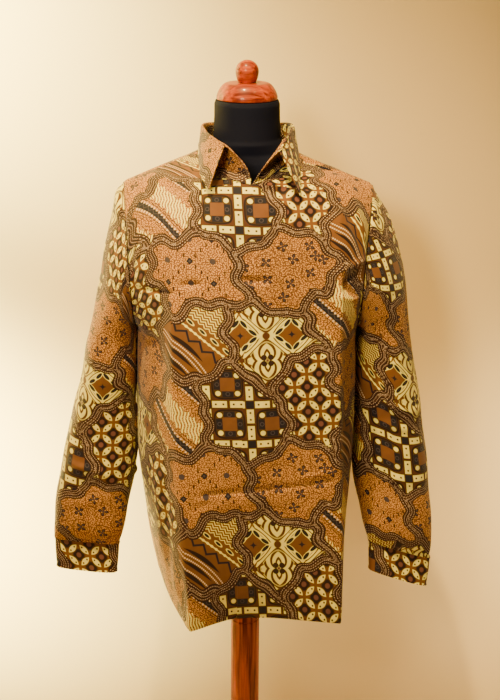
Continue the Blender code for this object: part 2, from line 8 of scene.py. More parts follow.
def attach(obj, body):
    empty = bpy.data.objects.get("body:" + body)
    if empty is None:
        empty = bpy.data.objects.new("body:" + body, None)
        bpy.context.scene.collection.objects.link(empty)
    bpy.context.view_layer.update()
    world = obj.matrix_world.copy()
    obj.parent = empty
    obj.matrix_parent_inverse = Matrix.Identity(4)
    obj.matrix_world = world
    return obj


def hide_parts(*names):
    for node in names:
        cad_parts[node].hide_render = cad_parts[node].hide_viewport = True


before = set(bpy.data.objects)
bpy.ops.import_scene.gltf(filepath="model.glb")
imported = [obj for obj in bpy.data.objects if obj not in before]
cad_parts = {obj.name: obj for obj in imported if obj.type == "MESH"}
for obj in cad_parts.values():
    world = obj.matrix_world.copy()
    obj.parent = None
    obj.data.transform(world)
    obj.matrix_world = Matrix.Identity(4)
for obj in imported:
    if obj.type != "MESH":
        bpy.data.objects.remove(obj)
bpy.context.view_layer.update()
print("frame loaded", len(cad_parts), "nodes")


def through(values, place):
    # a smooth curve through equally spaced values, read at many places
    values = np.asarray(values, float)
    place = np.asarray(place, float)
    last = len(values) - 1
    i = np.clip(place.astype(int), 0, last - 1)
    t = place - i
    b, c = values[i], values[i + 1]
    a = np.where(i > 0, values[np.maximum(i - 1, 0)], 2 * b - c)
    d = np.where(i < last - 1, values[np.minimum(i + 2, last)], 2 * c - b)
    return 0.5 * (2 * b + (c - a) * t + (2 * a - 5 * b + 4 * c - d) * t ** 2
                  + (3 * b - a - 3 * c + d) * t ** 3)


def table(columns, rows):
    # rows listed one by one, kept as one list for each named column
    return {name: [row[i] for row in rows] for i, name in enumerate(columns.split())}


def columnsAt(rows, place, columns):
    # some columns of a table, read smoothly at many places and stacked as points
    return np.stack([through(rows[name], place) for name in columns.split()], -1)


def unit(vectors):
    return vectors / np.maximum(np.linalg.norm(vectors, axis=-1, keepdims=True), 1e-9)


def smooth(x):
    # rises softly from 0 to 1
    x = np.clip(x, 0.0, 1.0)
    return x * x * (3 - 2 * x)


def hermite(start, end, leave, arrive, t):
    # a curve between two points that leaves and arrives along the given directions
    return ((2 * t ** 3 - 3 * t * t + 1) * start + (t ** 3 - 2 * t * t + t) * leave
            + (3 * t * t - 2 * t ** 3) * end + (t ** 3 - t * t) * arrive)


def anglesAround(count):
    return 2 * math.pi * np.arange(count) / count


def lengthAlong(line):
    # length from the start of a line of points to each of them
    return np.concatenate([[0], np.cumsum(np.linalg.norm(np.diff(line, axis=0), axis=1))])


def rowLengths(points):
    # the same along each row of a grid of points, and below along each column
    across = np.linalg.norm(np.diff(points, axis=1), axis=2)
    return np.concatenate([0 * across[:, :1], np.cumsum(across, axis=1)], axis=1)


def columnLengths(points):
    upward = np.linalg.norm(np.diff(points, axis=0), axis=2)
    return np.concatenate([0 * upward[:1], np.cumsum(upward, axis=0)], axis=0)


def gridNormals(points, closed=False):
    # outward normals of a grid of points (rows, columns, 3), columns running anticlockwise
    if closed:
        across = np.roll(points, -1, axis=1) - np.roll(points, 1, axis=1)
    else:
        across = np.gradient(points, axis=1)
    return unit(np.cross(across, np.gradient(points, axis=0)))


shirtBody = {
    "rowLength": 0.0036,       # size of the mesh cells down and across the cloth
    "creaseRound": 0.035,      # share of a half row that rounds the pressed crease
    "flyWidth": 0.030,         # width of the strip where one front lies over the other
    "layerStep": 0.0023,       # how far the upper front stands off the lower one there
    "overlapFade": 0.030,      # and the width over which that goes back to nothing
    "flatWidth": 0.125,        # middle to crease, and crease to side seam, to share out the columns
    "sideWidth": 0.180,
    "frontTwist": 0.008,       # how far forward the left crease and back the right one are moved
    "narrowLeft": 0.005,       # how much narrower the left shoulder is
    "dropRight": 0.004,        # and how much lower the right one hangs
    "backCrease": 0.010,       # how far the back's creases lie in front of its middle
    "backBulge": 0.006,
    "seamGap": 0.00015,        # half the gap left between two pieces at a seam
    "hemRows": 4,              # mesh rows turned up inside the hem
    "hemFold": 0.0016,         # how far inside they lie
    "wall": 0.0007,            # thickness of the cloth
}
# half rows of the body below the armpit, from the hem up; L and R are the viewer's left and right
bodyRows = table("z midX midY creaseLx creaseLy creaseRx creaseRy sideLx sideLy sideRx sideRy "
                 "backLx backRx backY bulgeL bulgeR", (
    (0.675, 0.0015, -0.138, -0.091, -0.183, 0.164, -0.157, -0.158, 0.030, 0.166, 0.035,
     -0.118, 0.130, 0.128, 0.006, 0.004),
    (0.735, 0.0025, -0.145, -0.094, -0.178, 0.162, -0.154, -0.168, 0.030, 0.168, 0.033,
     -0.125, 0.133, 0.130, 0.009, 0.004),
    (0.800, 0.004, -0.150, -0.098, -0.173, 0.160, -0.151, -0.176, 0.024, 0.171, 0.028,
     -0.130, 0.136, 0.131, 0.012, 0.004),
    (0.930, 0.007, -0.157, -0.106, -0.167, 0.155, -0.147, -0.186, 0.010, 0.180, 0.014,
     -0.136, 0.139, 0.130, 0.018, 0.010),
    (1.040, 0.010, -0.160, -0.110, -0.163, 0.151, -0.145, -0.185, 0.004, 0.181, 0.005,
     -0.138, 0.140, 0.126, 0.017, 0.012),
    (1.155, 0.014, -0.160, -0.113, -0.158, 0.148, -0.143, -0.180, 0.000, 0.180, 0.000,
     -0.140, 0.141, 0.120, 0.010, 0.009),
))
# half rows above the armpit, up to the shoulder seam
upperColumns = "midX inX inY inZ creaseLx creaseRx creaseY creaseZ outX outY outZ bulge"
frontRows = table(upperColumns, (
    (0.014, 0.000, -0.160, 1.155, -0.113, 0.148, -0.150, 1.155, 0.180, 0.000, 1.155, 0.009),
    (0.016, 0.000, -0.159, 1.215, -0.113, 0.148, -0.147, 1.210, 0.181, -0.056, 1.178, 0.008),
    (0.018, 0.000, -0.155, 1.275, -0.112, 0.147, -0.139, 1.265, 0.183, -0.090, 1.230, 0.006),
    (0.019, 0.000, -0.147, 1.330, -0.113, 0.145, -0.125, 1.318, 0.187, -0.088, 1.292, 0.005),
    (0.016, 0.000, -0.135, 1.380, -0.115, 0.143, -0.103, 1.360, 0.193, -0.064, 1.342, 0.005),
    (0.007, 0.000, -0.117, 1.415, -0.120, 0.140, -0.073, 1.392, 0.198, -0.038, 1.373, 0.004),
    (0.003, 0.038, -0.085, 1.424, -0.129, 0.138, -0.042, 1.413, 0.200, -0.018, 1.389, 0.002),
    (0.001, 0.065, -0.043, 1.436, -0.135, 0.137, -0.019, 1.422, 0.201, -0.008, 1.394, 0.001),
    (0.000, 0.079, -0.003, 1.444, -0.137, 0.137, -0.003, 1.423, 0.201, -0.003, 1.396, 0.000),
))
backRows = table(upperColumns, (
    (0.000, 0.000, 0.120, 1.155, -0.140, 0.141, 0.110, 1.155, 0.180, 0.000, 1.155, 0.006),
    (0.000, 0.000, 0.121, 1.215, -0.140, 0.141, 0.110, 1.210, 0.181, 0.046, 1.178, 0.006),
    (0.000, 0.000, 0.120, 1.275, -0.140, 0.141, 0.107, 1.268, 0.184, 0.076, 1.230, 0.005),
    (0.000, 0.000, 0.116, 1.335, -0.140, 0.141, 0.098, 1.325, 0.188, 0.074, 1.292, 0.004),
    (0.000, 0.000, 0.106, 1.386, -0.139, 0.140, 0.081, 1.368, 0.194, 0.053, 1.342, 0.003),
    (0.000, 0.000, 0.090, 1.424, -0.138, 0.139, 0.057, 1.399, 0.198, 0.031, 1.373, 0.002),
    (0.000, 0.000, 0.067, 1.450, -0.137, 0.138, 0.032, 1.415, 0.200, 0.014, 1.389, 0.001),
    (0.000, 0.047, 0.050, 1.450, -0.137, 0.137, 0.013, 1.421, 0.201, 0.005, 1.394, 0.000),
    (0.000, 0.079, -0.003, 1.444, -0.137, 0.137, -0.003, 1.423, 0.201, -0.003, 1.396, 0.000),
))
bodyTop = len(bodyRows["z"]) - 1                  # level of the armpit
allTop = bodyTop + len(frontRows["inZ"]) - 1      # level of the shoulder seam
neckRow = 5                                       # upper row where the front edge becomes the neckline


def lowerControls(place, side, face):
    # middle, crease and side seam of half rows below the armpit, and the bulge between the last two
    tag = "L" if side < 0 else "R"
    seam = columnsAt(bodyRows, place, "side%sx side%sy z" % (tag, tag))
    if face == "front":
        middle = columnsAt(bodyRows, place, "midX midY z")
        crease = columnsAt(bodyRows, place, "crease%sx crease%sy z" % (tag, tag))
        return middle, crease, seam, through(bodyRows["bulge" + tag], place)
    z, backY = seam[..., 2], through(bodyRows["backY"], place)
    middle = np.stack([0 * z, backY, z], -1)
    crease = np.stack([through(bodyRows["back%sx" % tag], place), backY - shirtBody["backCrease"], z], -1)
    return middle, crease, seam, shirtBody["backBulge"] + 0 * z


def upperControls(place, side, face):
    # the same for half rows above the armpit
    rows = frontRows if face == "front" else backRows
    tag = "L" if side < 0 else "R"
    top = len(rows["inZ"]) - 1
    closedUpTo = neckRow + (face == "back")
    middle = columnsAt(rows, place, "midX inY inZ")
    middle[..., 0] += side * np.where(place <= closedUpTo, 0.0, through(rows["inX"], place))
    crease = columnsAt(rows, place, "crease%sx creaseY creaseZ" % tag)
    if face == "front":
        crease[..., 1] += shirtBody["frontTwist"] * side * np.maximum(0.0, 1.0 - place / 3.0)
    seam = columnsAt(rows, place, "outX outY outZ")
    seam[..., 0] *= side
    rise = np.minimum(1.0, place / neckRow)
    if side < 0:
        seam[..., 0] += shirtBody["narrowLeft"] * rise
    else:
        seam[..., 2] -= shirtBody["dropRight"] * rise
    # near the shoulder seam the half row runs straight
    straight = np.maximum(0.0, place - top + 2) / 2
    share = (crease[..., 0] - middle[..., 0]) / (seam[..., 0] - middle[..., 0])
    onLine = middle[..., 2] + (seam[..., 2] - middle[..., 2]) * share
    crease[..., 2] += (onLine - crease[..., 2]) * straight
    return middle, crease, seam, through(rows["bulge"], place)


def controls(level, side, face):
    # the same for any level, from the hem to the shoulder seam
    low = lowerControls(np.minimum(level, bodyTop), side, face)
    high = upperControls(np.maximum(level - bodyTop, 0.0), side, face)
    below = level <= bodyTop
    return [np.where(below[..., None] if a.ndim > level.ndim else below, a, b) for a, b in zip(low, high)]


def bodyPoint(level, s, side, face):
    # level 0 is the hem and allTop the shoulder seam; s is 0 at the middle or the neckline,
    # 1 at the pressed crease and 2 at the side seam or the armhole
    level, s = np.broadcast_arrays(np.asarray(level, float), np.asarray(s, float))
    middle, crease, seam, bulge = controls(level, side, face)
    other = controls(level, -side, face)[1]
    # up to the neckline the two halves run smoothly into one another at the middle
    isOpen = (level - bodyTop > neckRow + (face == "back"))[..., None]
    chord = crease - middle
    leave = np.where(isOpen, chord, (crease - other) * 0.5)
    leave = unit(leave) * np.linalg.norm(chord, axis=-1, keepdims=True)
    outward = np.stack([seam[..., 1] - crease[..., 1], crease[..., 0] - seam[..., 0], 0 * level], -1)
    outward = unit(outward * np.sign(outward[..., :1] * side + 1e-12))

    def raw(at):
        flat = hermite(middle, crease, leave, chord, at[..., None])
        t = (at - 1.0)[..., None]
        bulged = crease + (seam - crease) * t + outward * bulge[..., None] * 4 * t * (1 - t)
        return np.where(at[..., None] <= 1.0, flat, bulged)

    # the pressed crease is a short curve between its two sides
    soft = shirtBody["creaseRound"]
    before, after = raw(0 * s + 1.0 - soft), raw(0 * s + 1.0 + soft)
    t = ((s - 1.0 + soft) / (2 * soft))[..., None]
    corner = (before * (1 - t) + crease * t) * (1 - t) + (crease * (1 - t) + after * t) * t
    return np.where((np.abs(s - 1.0) < soft)[..., None], corner, raw(s))


def frontPoint(level, s, side):
    # a negative s reaches onto the other half
    own = bodyPoint(level, np.maximum(s, 0), side, "front")
    other = bodyPoint(level, np.maximum(-s, 0), -side, "front")
    return np.where((s < 0)[..., None], other, own)


def evenLevels(side, face):
    # levels whose rows lie evenly spaced down a line between the middle and the crease
    fine = np.linspace(0, allTop, 600)
    along = lengthAlong(bodyPoint(fine, 0.6, side, face))
    count = int(along[-1] / shirtBody["rowLength"])
    return np.interp(np.linspace(0, along[-1], count + 1), along, fine)


print("body shape ready")

# the print, in millimetres: a half-dropped repeat of seven patches, each grown from a few round seeds
batikPrint = {
    "width": 281.0,            # across to the next, half-dropped repeat
    "height": 355.0,           # down to the next repeat
    "zeroHeight": 1.1,         # metres above the floor where the print is centred on the front
    "lean": 0.061,             # the panels were cut a hair off the cloth's grain
    "tighten": 0.000186,       # and the print runs closer together towards the hem
    "scallop": 4.2,            # height of the small waves of the bands between patches
    "sway": 4.6,               # height of the long ones
}
patchKinds = ("kawung", "ceplok", "frames", "lozenges", "rosettes", "leaves", "strips")
# where each patch's own motif is centred, and the seeds that it grows from
patchOrigins = ((97, -18), (37, 92), (-28, -56), (-39, 212), (65, 203), (-72, 94), (-143, -52))
patchSeeds = table("kind x y reach", (
    ("kawung", 95, 22, 22), ("kawung", 107, -28, 32), ("kawung", 120, -74, 22),
    ("ceplok", 5, 98, 27), ("ceplok", 72, 88, 28), ("ceplok", 36, 64, 31), ("ceplok", 38, 118, 14),
    ("frames", -18, -18, 33), ("frames", -15, -62, 36), ("frames", 22, -58, 22), ("frames", 10, -95, 12),
    ("lozenges", -75, 200, 44), ("lozenges", -38, 185, 34), ("lozenges", -100, 165, 14),
    ("rosettes", 45, 205, 36), ("rosettes", 95, 205, 42), ("rosettes", 70, 165, 30),
    ("rosettes", 130, 195, 12),
    ("leaves", -55, 95, 34), ("leaves", -85, 70, 34), ("leaves", -120, 80, 20),
    ("strips", -150, -55, 22), ("strips", -115, -30, 26), ("strips", -95, -75, 22), ("strips", -105, 0, 16),
))


def printPlace(u, v):
    # from metres on a flat panel to millimetres on the printed cloth
    up = 1000 * (v - batikPrint["zeroHeight"])
    return 1000 * u + batikPrint["lean"] * up, up + batikPrint["tighten"] * up * up


def swayed(p, q):
    # bends the cloth's own grid, so that the borders between patches run in waves
    across, down = 2 * math.pi / batikPrint["width"], 2 * math.pi / batikPrint["height"]
    small, large = batikPrint["scallop"], batikPrint["sway"]
    return (p + small * np.sin(8 * down * q + 0.6) + large * np.sin(4 * down * q + 1.0),
            q + small * np.sin(6 * across * p + 2.0) + large * np.sin(2 * across * p))


def patchField(p, q):
    # for each place: distance to the nearest border, place along it, kind of patch, place in the patch
    width, height = batikPrint["width"], batikPrint["height"]
    # everything is moved into the middle repeat
    x, y = swayed(p, q)
    column = np.round(x / width)
    drop = height * (np.round((y + 0.5 * height * column) / height) - 0.5 * column)
    x, y = x - width * column, y - drop
    straight = np.stack([p - width * column, q - drop], -1)
    spot = np.stack([x, y], -1)
    # the nearest patch and the second nearest, over this repeat and its eight neighbours
    best, second = np.full(x.shape, 1e9), np.full(x.shape, 1e9)
    kind, origin = np.zeros(x.shape), np.zeros(spot.shape)
    near, other = np.zeros(spot.shape), np.zeros(spot.shape)
    seeds = list(zip(*patchSeeds.values()))
    for number, name in enumerate(patchKinds):
        for i, j in ((i, j) for i in (-1, 0, 1) for j in (-1, 0, 1)):
            shift = np.array([i * width, (j - 0.5 * i) * height])
            reach, centre = np.full(x.shape, 1e9), np.zeros(spot.shape)
            for _, seedX, seedY, radius in (row for row in seeds if row[0] == name):
                at = shift + (seedX, seedY)
                away = np.hypot(x - at[0], y - at[1]) - radius
                closer = away < reach
                reach[closer], centre[closer] = away[closer], at
            first = reach < best
            later = ~first & (reach < second)
            second[first], other[first] = best[first], near[first]
            second[later], other[later] = reach[later], centre[later]
            best[first], near[first] = reach[first], centre[first]
            kind[first], origin[first] = number, shift + patchOrigins[number]
    # how fast the difference between the two nearest seeds grows, to turn it into a distance
    step = 0.5
    alongP, alongQ = swayed(p + step, q), swayed(p, q + step)
    base = swayed(p, q)
    pull = unit(spot - other) - unit(spot - near)
    slope = np.hypot(*[(pull[..., 0] * (a[0] - base[0]) + pull[..., 1] * (a[1] - base[1])) / step
                       for a in (alongP, alongQ)])
    toward = unit(other - near)
    middle = spot - 0.5 * (near + other)
    along = middle[..., 1] * toward[..., 0] - middle[..., 0] * toward[..., 1]
    place = straight - origin
    return (second - best) / np.maximum(slope, 0.2), along, kind, place[..., 0], place[..., 1]


def smoothMesh(name, points, faces, sharpAngle):
    # a mesh shaded smooth except across edges sharper than an angle in degrees
    mesh = bpy.data.meshes.new(name)
    mesh.from_pydata(points, [], faces)
    mesh.polygons.foreach_set("use_smooth", np.ones(len(faces), bool))
    mesh.set_sharp_from_angle(angle=math.radians(sharpAngle))
    return mesh


def addPiece(name, mesh, look, node):
    # a visible piece that stands for a solid and wears its slot
    mesh.materials.append(look)
    made = bpy.data.objects.new(name, mesh)
    bpy.context.scene.collection.objects.link(made)
    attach(made, "root")
    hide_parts(node)
    return made


def gridPart(points, u, v, closed=False, flip=False):
    # vertices, quads and the quads' flat cloth coordinates of a grid of points
    rows, across = points.shape[:2]
    r, c = np.meshgrid(np.arange(rows - 1), np.arange(across if closed else across - 1), indexing="ij")
    r, c = r.ravel(), c.ravel()
    cornerRows, cornerColumns = np.stack([r, r, r + 1, r + 1], 1), np.stack([c, c + 1, c + 1, c], 1)
    quads = cornerRows * across + cornerColumns % across
    flat = np.stack([u[cornerRows, cornerColumns], v[cornerRows, cornerColumns]], 2)
    if flip:
        quads, flat = quads[:, ::-1], flat[:, ::-1]
    return points.reshape(-1, 3), quads, flat


def pointNormals(points, quads):
    # outward normals at the points of a mesh of quads
    across = points[quads[:, 2]] - points[quads[:, 0]]
    normals = np.cross(across, points[quads[:, 3]] - points[quads[:, 1]])
    total = np.zeros_like(points)
    for k in range(4):
        np.add.at(total, quads[:, k], normals)
    return unit(total)


def clothMesh(name, parts, look, wall, node):
    # grid parts joined where their points meet, given a thin wall on the outer side
    points, quads, flat, start = [], [], [], 0
    for part in parts:
        points.append(part[0])
        quads.append(part[1] + start)
        flat.append(part[2])
        start += len(part[0])
    points, quads, flat = np.concatenate(points), np.concatenate(quads), np.concatenate(flat)
    # points that meet become one
    _, first, back = np.unique(np.round(points, 6), axis=0, return_index=True, return_inverse=True)
    points, quads = points[first], back.ravel()[quads]
    # the outer face, and rims between the two faces along the open edges
    size = len(points)
    outside = points + pointNormals(points, quads) * wall
    starts, ends = quads.ravel(), np.roll(quads, -1, axis=1).ravel()
    flatStarts, flatEnds = flat.reshape(-1, 2), np.roll(flat, -1, axis=1).reshape(-1, 2)
    forward, backward = starts * size + ends, ends * size + starts
    rim = ~np.isin(forward, backward)
    a, b = starts[rim], ends[rim]
    rims = np.stack([b + size, a + size, a, b], 1)
    rimFlat = np.stack([flatEnds[rim], flatStarts[rim], flatStarts[rim], flatEnds[rim]], 1)
    faces = np.concatenate([quads + size, quads[:, ::-1], rims])
    values = np.concatenate([flat, flat[:, ::-1], rimFlat])
    mesh = smoothMesh(name, np.concatenate([points, outside]).tolist(), faces.tolist(), 65)
    # every corner knows its place on the cloth, its patch and how far the border is
    mesh.uv_layers.new(name="Cloth").data.foreach_set("uv", values.astype(np.float32).ravel())
    spots, spotOf = np.unique(np.round(values.reshape(-1, 2), 6), axis=0, return_inverse=True)
    away, along, kind, x, y = patchField(*printPlace(spots[:, 0], spots[:, 1]))
    for label, columns in (("border", (away, along, kind)), ("patch", (x, y, kind))):
        made = mesh.attributes.new(label, "FLOAT_VECTOR", "CORNER")
        made.data.foreach_set("vector", np.stack(columns, 1)[spotOf.ravel()].astype(np.float32).ravel())
    return addPiece(name, mesh, look, node)


def creaseDepth(x, z, rows):
    # how far the cloth stands out (+) or lies in (-) at each point of a view, from a table of creases
    depth = 0 * x
    for row in rows:
        x0, z0, x1, z1, width, height = (value / 1000 for value in row[:6])
        lean, bow = row[6], row[7] / 1000
        along = np.array([x1 - x0, z1 - z0])
        length = np.hypot(*along)
        along = along / length
        t = ((x - x0) * along[0] + (z - z0) * along[1]) / length
        side = (z - z0) * along[0] - (x - x0) * along[1] - bow * 4 * t * (1 - t)
        # it fades out over its last third, a little past its ends, and leans to one side
        fade = smooth((t + 0.12) / 0.42) * smooth((1.12 - t) / 0.42)
        q = side / width
        depth = depth + height * fade * np.exp(-q * q) * (1 + lean * 1.6 * q)
    return depth


def ripple(u, v, seed, size, height):
    # gentle unevenness of hanging cloth: a few crossing waves of uneven length
    rng = np.random.default_rng(seed)
    total = 0 * u
    for _ in range(9):
        angle, scale = rng.uniform(0, math.pi), size * rng.uniform(0.6, 1.9)
        phase = rng.uniform(0, 2 * math.pi)
        total = total + np.sin((u * math.cos(angle) + v * math.sin(angle)) * 2 * math.pi / scale + phase)
    return total * height / 3.0


def creased(points, normals, u, v, look, free=1.0):
    # pushes a grid of points along its normals by its creases, front and back apart, and its waves;
    # free is 0 on the seams, which stay where they are
    facing = normals[..., 1]
    x, z = points[..., 0], points[..., 2]
    depth = creaseDepth(x, z, look.get("front", ())) * smooth((0.25 - facing) / 0.5)
    depth = depth + creaseDepth(x, z, look.get("back", ())) * smooth((facing + 0.25) / 0.5)
    depth = depth + ripple(u, v, look["seed"], look["waveLength"], look["waveHeight"])
    return points + normals * (depth * free)[..., None]


def seamDip(points, normals, away, dip=0.0007, width=0.0025, puff=0.0004):
    # the cloth pulls in along a seam and stands a little proud 6 mm beside it
    depth = -dip * np.exp(-(away / width) ** 2) + puff * np.exp(-((away - 0.006) / 0.003) ** 2)
    return points + normals * depth[..., None]


def hemmed(points, normals, u, v):
    # adds the turned-up hem: the first rows again, inside, running up from the edge
    first = slice(shirtBody["hemRows"], 0, -1)
    inside = points[first] - normals[first] * shirtBody["hemFold"]
    down = 2 * v[:1] - v[first]
    return np.concatenate([inside, points]), np.concatenate([u[first], u]), np.concatenate([down, v])


def shoulderStop(level, s, side, face):
    # the top row stops half a seam gap short of the shoulder seam
    step = 0.05
    below = bodyPoint(level - step, s, side, face)
    length = np.linalg.norm(bodyPoint(level, s, side, face) - below, axis=-1)
    return np.where(level >= allTop - 1e-6, level - step * shirtBody["seamGap"] / length, level)


def halfColumns():
    # column values of a half row, close together at the pressed crease
    cell = shirtBody["rowLength"]
    flat = np.linspace(0, 0.96, int(shirtBody["flatWidth"] / cell))
    corner = np.linspace(0.965, 1.035, 9)
    sidePlane = np.linspace(1.045, 1.9992, int(shirtBody["sideWidth"] / cell))
    return np.concatenate([flat, corner, sidePlane])


# creases, in millimetres on the front (or back) view: ends x0 z0 x1 z1, width, height, lean, bow
frontLook = {
    "seed": 4, "waveLength": 0.16, "waveHeight": 0.0012,
    "front": (
        # where the shirt lay folded in its packet
        (-174, 1247, -105, 1252, 4.0, -5.4, 0.35, 0), (-106, 1264, -64, 1268, 4.2, -4.2, 0.35, 0),
        (-12, 1276, 39, 1276, 4, -4.8, 0.4, 0), (-80, 916, 8, 921, 4.6, -3.0, 0.45, 1),
        (-15, 920, 95, 930, 4.8, -3.6, 0.45, -1), (-64, 900, 89, 907, 10, 1.4, 0, 0),
        (16, 1409, 62, 1398, 8, -6, 0.3, 0), (-69, 1402, -66, 1362, 3, -3.5, 0, 0),
        (82, 944, 152, 955, 4.5, 2.2, 0, 0), (88, 930, 143, 941, 5, -2.4, 0, -1),
        (93, 932, 105, 899, 5, -1.4, 0, 0), (-90, 891, -52, 906, 5, -1.6, 0, 0),
        (27, 958, 75, 964, 9, -1.2, 0, 0),
        # drape of the side planes and the armholes
        (-146, 960, -145, 763, 14, 4.5, 0.2, 3), (-127, 974, -125, 710, 8, -4, -0.2, -2),
        (-159, 1221, -158, 1014, 14, 3, 0, 2), (-131, 1328, -138, 1062, 12, -2.6, 0, 2),
        (-180, 1338, -181, 1198, 6, -3.5, 0, 0), (-174, 1332, -151, 1284, 6, -1.8, 0, 0),
        (151, 1379, 181, 1295, 7, -4, 0.2, 2), (162, 1393, 186, 1324, 5, 2.2, 0, 0),
        (141, 1286, 186, 1292, 5, 5, 0, 3), (149, 1265, 184, 1266, 12, -13, 0, 0),
        (143, 1250, 178, 1236, 3.6, 5, 0, -3), (159, 1229, 163, 934, 8, -4.5, 0, 0),
        # the loose cloth above the hem
        (-107, 795, -99, 707, 7, -2, 0, 0), (-124, 766, -92, 660, 6, 1.6, 0, 0),
        (91, 796, 123, 689, 12, -1.8, 0, 0), (28, 767, 36, 696, 12, 1.5, 0, 0),
        (-54, 795, -62, 684, 12, 1.5, 0, 0),
    ),
}
backLook = {
    "seed": 9, "waveLength": 0.17, "waveHeight": 0.0014,
    "back": (
        (-120, 1250, -40, 1256, 4.5, -2.2, 0.3, 0), (10, 1262, 96, 1258, 4.5, -2.4, 0.3, 1),
        (-98, 922, -6, 918, 7, -3.6, 0.35, 1), (4, 926, 112, 917, 7, -3.2, 0.35, -1),
        (-86, 903, 74, 901, 10, 2, 0, 0), (-146, 1330, -150, 1060, 12, -3, 0, 3),
        (150, 1325, 154, 1080, 13, -3.2, 0, -3), (-72, 1180, -60, 860, 20, 2.8, 0, 4),
        (64, 1210, 70, 820, 22, 2.6, 0, -3), (-12, 1120, 6, 740, 16, -2, 0, 2),
        (-118, 860, -110, 690, 12, -2.4, 0, 0), (108, 850, 116, 690, 12, -2.2, 0, 0),
        (-150, 1290, -112, 1262, 5, -1.8, 0, 0), (152, 1284, 118, 1258, 5, -1.8, 0, 0),
    ),
}


def seamFree(*distances):
    # 0 on the seams, 1 a little way off them
    return np.prod([smooth(away / 0.008) for away in np.broadcast_arrays(*distances)], axis=0)


def frontPanel(name, node, side, over, look):
    # one front; its first few columns reach past the middle and end before the neckline opens
    levels = evenLevels(side, "front")[:, None]
    columns = halfColumns()[None, :]
    otherCrease, otherMiddle = (bodyPoint(levels, s, -side, "front") for s in (1.0, 0.0))
    half = np.linalg.norm(otherCrease - otherMiddle, axis=-1)
    upper = levels - bodyTop
    isClosed = upper <= neckRow
    pull = np.clip((neckRow - upper) / 1.5, 0.0, 1.0)
    reach = np.where(isClosed, 0.5 * shirtBody["flyWidth"] / half * pull, 0.0)
    flyColumns = 5
    fly = np.linspace(0, 1, flyColumns + 1)[None, :-1]
    s = np.concatenate([-reach * (1 - fly), 0 * levels + columns], axis=1)
    apart = 2e-5    # keeps the first columns from lying on one another where nothing reaches across
    s = s + np.where(isClosed, 0, apart) * np.arange(s.shape[1])
    level = np.broadcast_to(levels, s.shape)
    points = frontPoint(shoulderStop(level, s, side, "front"), s, side)
    along = rowLengths(points)
    along = along - along[:, flyColumns:flyColumns + 1]
    if over:
        rest = smooth((along - 0.5 * shirtBody["flyWidth"]) / shirtBody["overlapFade"])
        step = np.where(isClosed, shirtBody["layerStep"] * (1 - rest),
                        0.5 * shirtBody["layerStep"] * np.maximum(0.0, 1 - s))
        points = points - step[..., None] * np.array([0.0, 1.0, 0.0])
    u = side * along + points[:, flyColumns:flyColumns + 1, 0]
    v = bodyRows["z"][0] + columnLengths(points)
    edge = along[:, -1:] - along
    if side < 0:
        points, u, v, edge = points[:, ::-1], u[:, ::-1], v[:, ::-1], edge[:, ::-1]
    normals = gridNormals(points)
    points = creased(points, normals, u, v, frontLook, seamFree(edge, v[-1:] - v))
    points = seamDip(points, normals, edge)
    points = seamDip(points, normals, v[-1:] - v)
    points, u, v = hemmed(points, gridNormals(points), u, v)
    return clothMesh(name, [gridPart(points, u, v)], look, shirtBody["wall"], node)


def backPanel(name, node, look):
    # two halves that share their middle column up to the neckline
    levels = evenLevels(1, "back")[:, None]
    columns = halfColumns()[None, :]
    level, s = np.broadcast_arrays(levels, columns)
    shared = (levels <= bodyTop + neckRow + 1)[:, 0]
    halves = {side: bodyPoint(shoulderStop(level, s, side, "back"), s, side, "back") for side in (1, -1)}
    normals = {side: gridNormals(points) * side * -1 for side, points in halves.items()}
    middle = unit(normals[1][:, 0] + normals[-1][:, 0])
    parts = []
    for side, points in halves.items():
        normals[side][shared, 0] = middle[shared]
        along = rowLengths(points)
        u = -side * along - points[:, :1, 0]
        v = bodyRows["z"][0] + columnLengths(points)
        free = seamFree(along[:, -1:] - along, v[-1:] - v)
        shaped = creased(points, normals[side], u, v, backLook, free)
        shaped = seamDip(shaped, normals[side], along[:, -1:] - along)
        shaped = seamDip(shaped, normals[side], v[-1:] - v)
        shaped[~shared, 0] = points[~shared, 0]
        shaped, u, v = hemmed(shaped, normals[side], u, v)
        parts.append(gridPart(shaped, u, v, flip=side > 0))
    return clothMesh(name, parts, look, shirtBody["wall"], node)


# ovals of the two sleeves from the armpit down to the wrist: place, half sizes, tilts in degrees
sleeveColumns = "x y z halfW halfD lean turn square"
sleeveRows = {
    -1: table(sleeveColumns, (
        (-0.2213, -0.014, 1.150, 0.0402, 0.066, 12.0, 0.0, 0.85),
        (-0.2322, -0.014, 1.060, 0.0483, 0.060, 6.0, 3.0, 0.85),
        (-0.2450, -0.018, 0.970, 0.0585, 0.050, 0.0, 4.0, 0.85),
        (-0.2530, -0.026, 0.905, 0.0640, 0.043, -2.0, 4.0, 0.85),
        (-0.2640, -0.034, 0.850, 0.0635, 0.037, -4.0, 3.0, 0.85),
        (-0.2715, -0.042, 0.800, 0.0600, 0.028, -5.0, 1.0, 0.75),
        (-0.2755, -0.046, 0.774, 0.0565, 0.014, -6.0, 0.0, 0.60),
    )),
    1: table(sleeveColumns, (
        (0.2290, -0.004, 1.150, 0.0460, 0.066, 12.0, 0.0, 0.85),
        (0.2352, -0.008, 1.060, 0.0538, 0.060, 8.0, -3.0, 0.85),
        (0.2450, -0.014, 0.970, 0.0615, 0.050, 8.0, -4.0, 0.85),
        (0.2498, -0.020, 0.895, 0.0672, 0.043, 10.0, -4.0, 0.85),
        (0.2600, -0.028, 0.835, 0.0660, 0.037, 13.0, -3.0, 0.85),
        (0.2680, -0.036, 0.785, 0.0620, 0.028, 16.0, 0.0, 0.75),
        (0.2700, -0.040, 0.757, 0.0575, 0.014, 17.5, 0.0, 0.60),
    )),
}
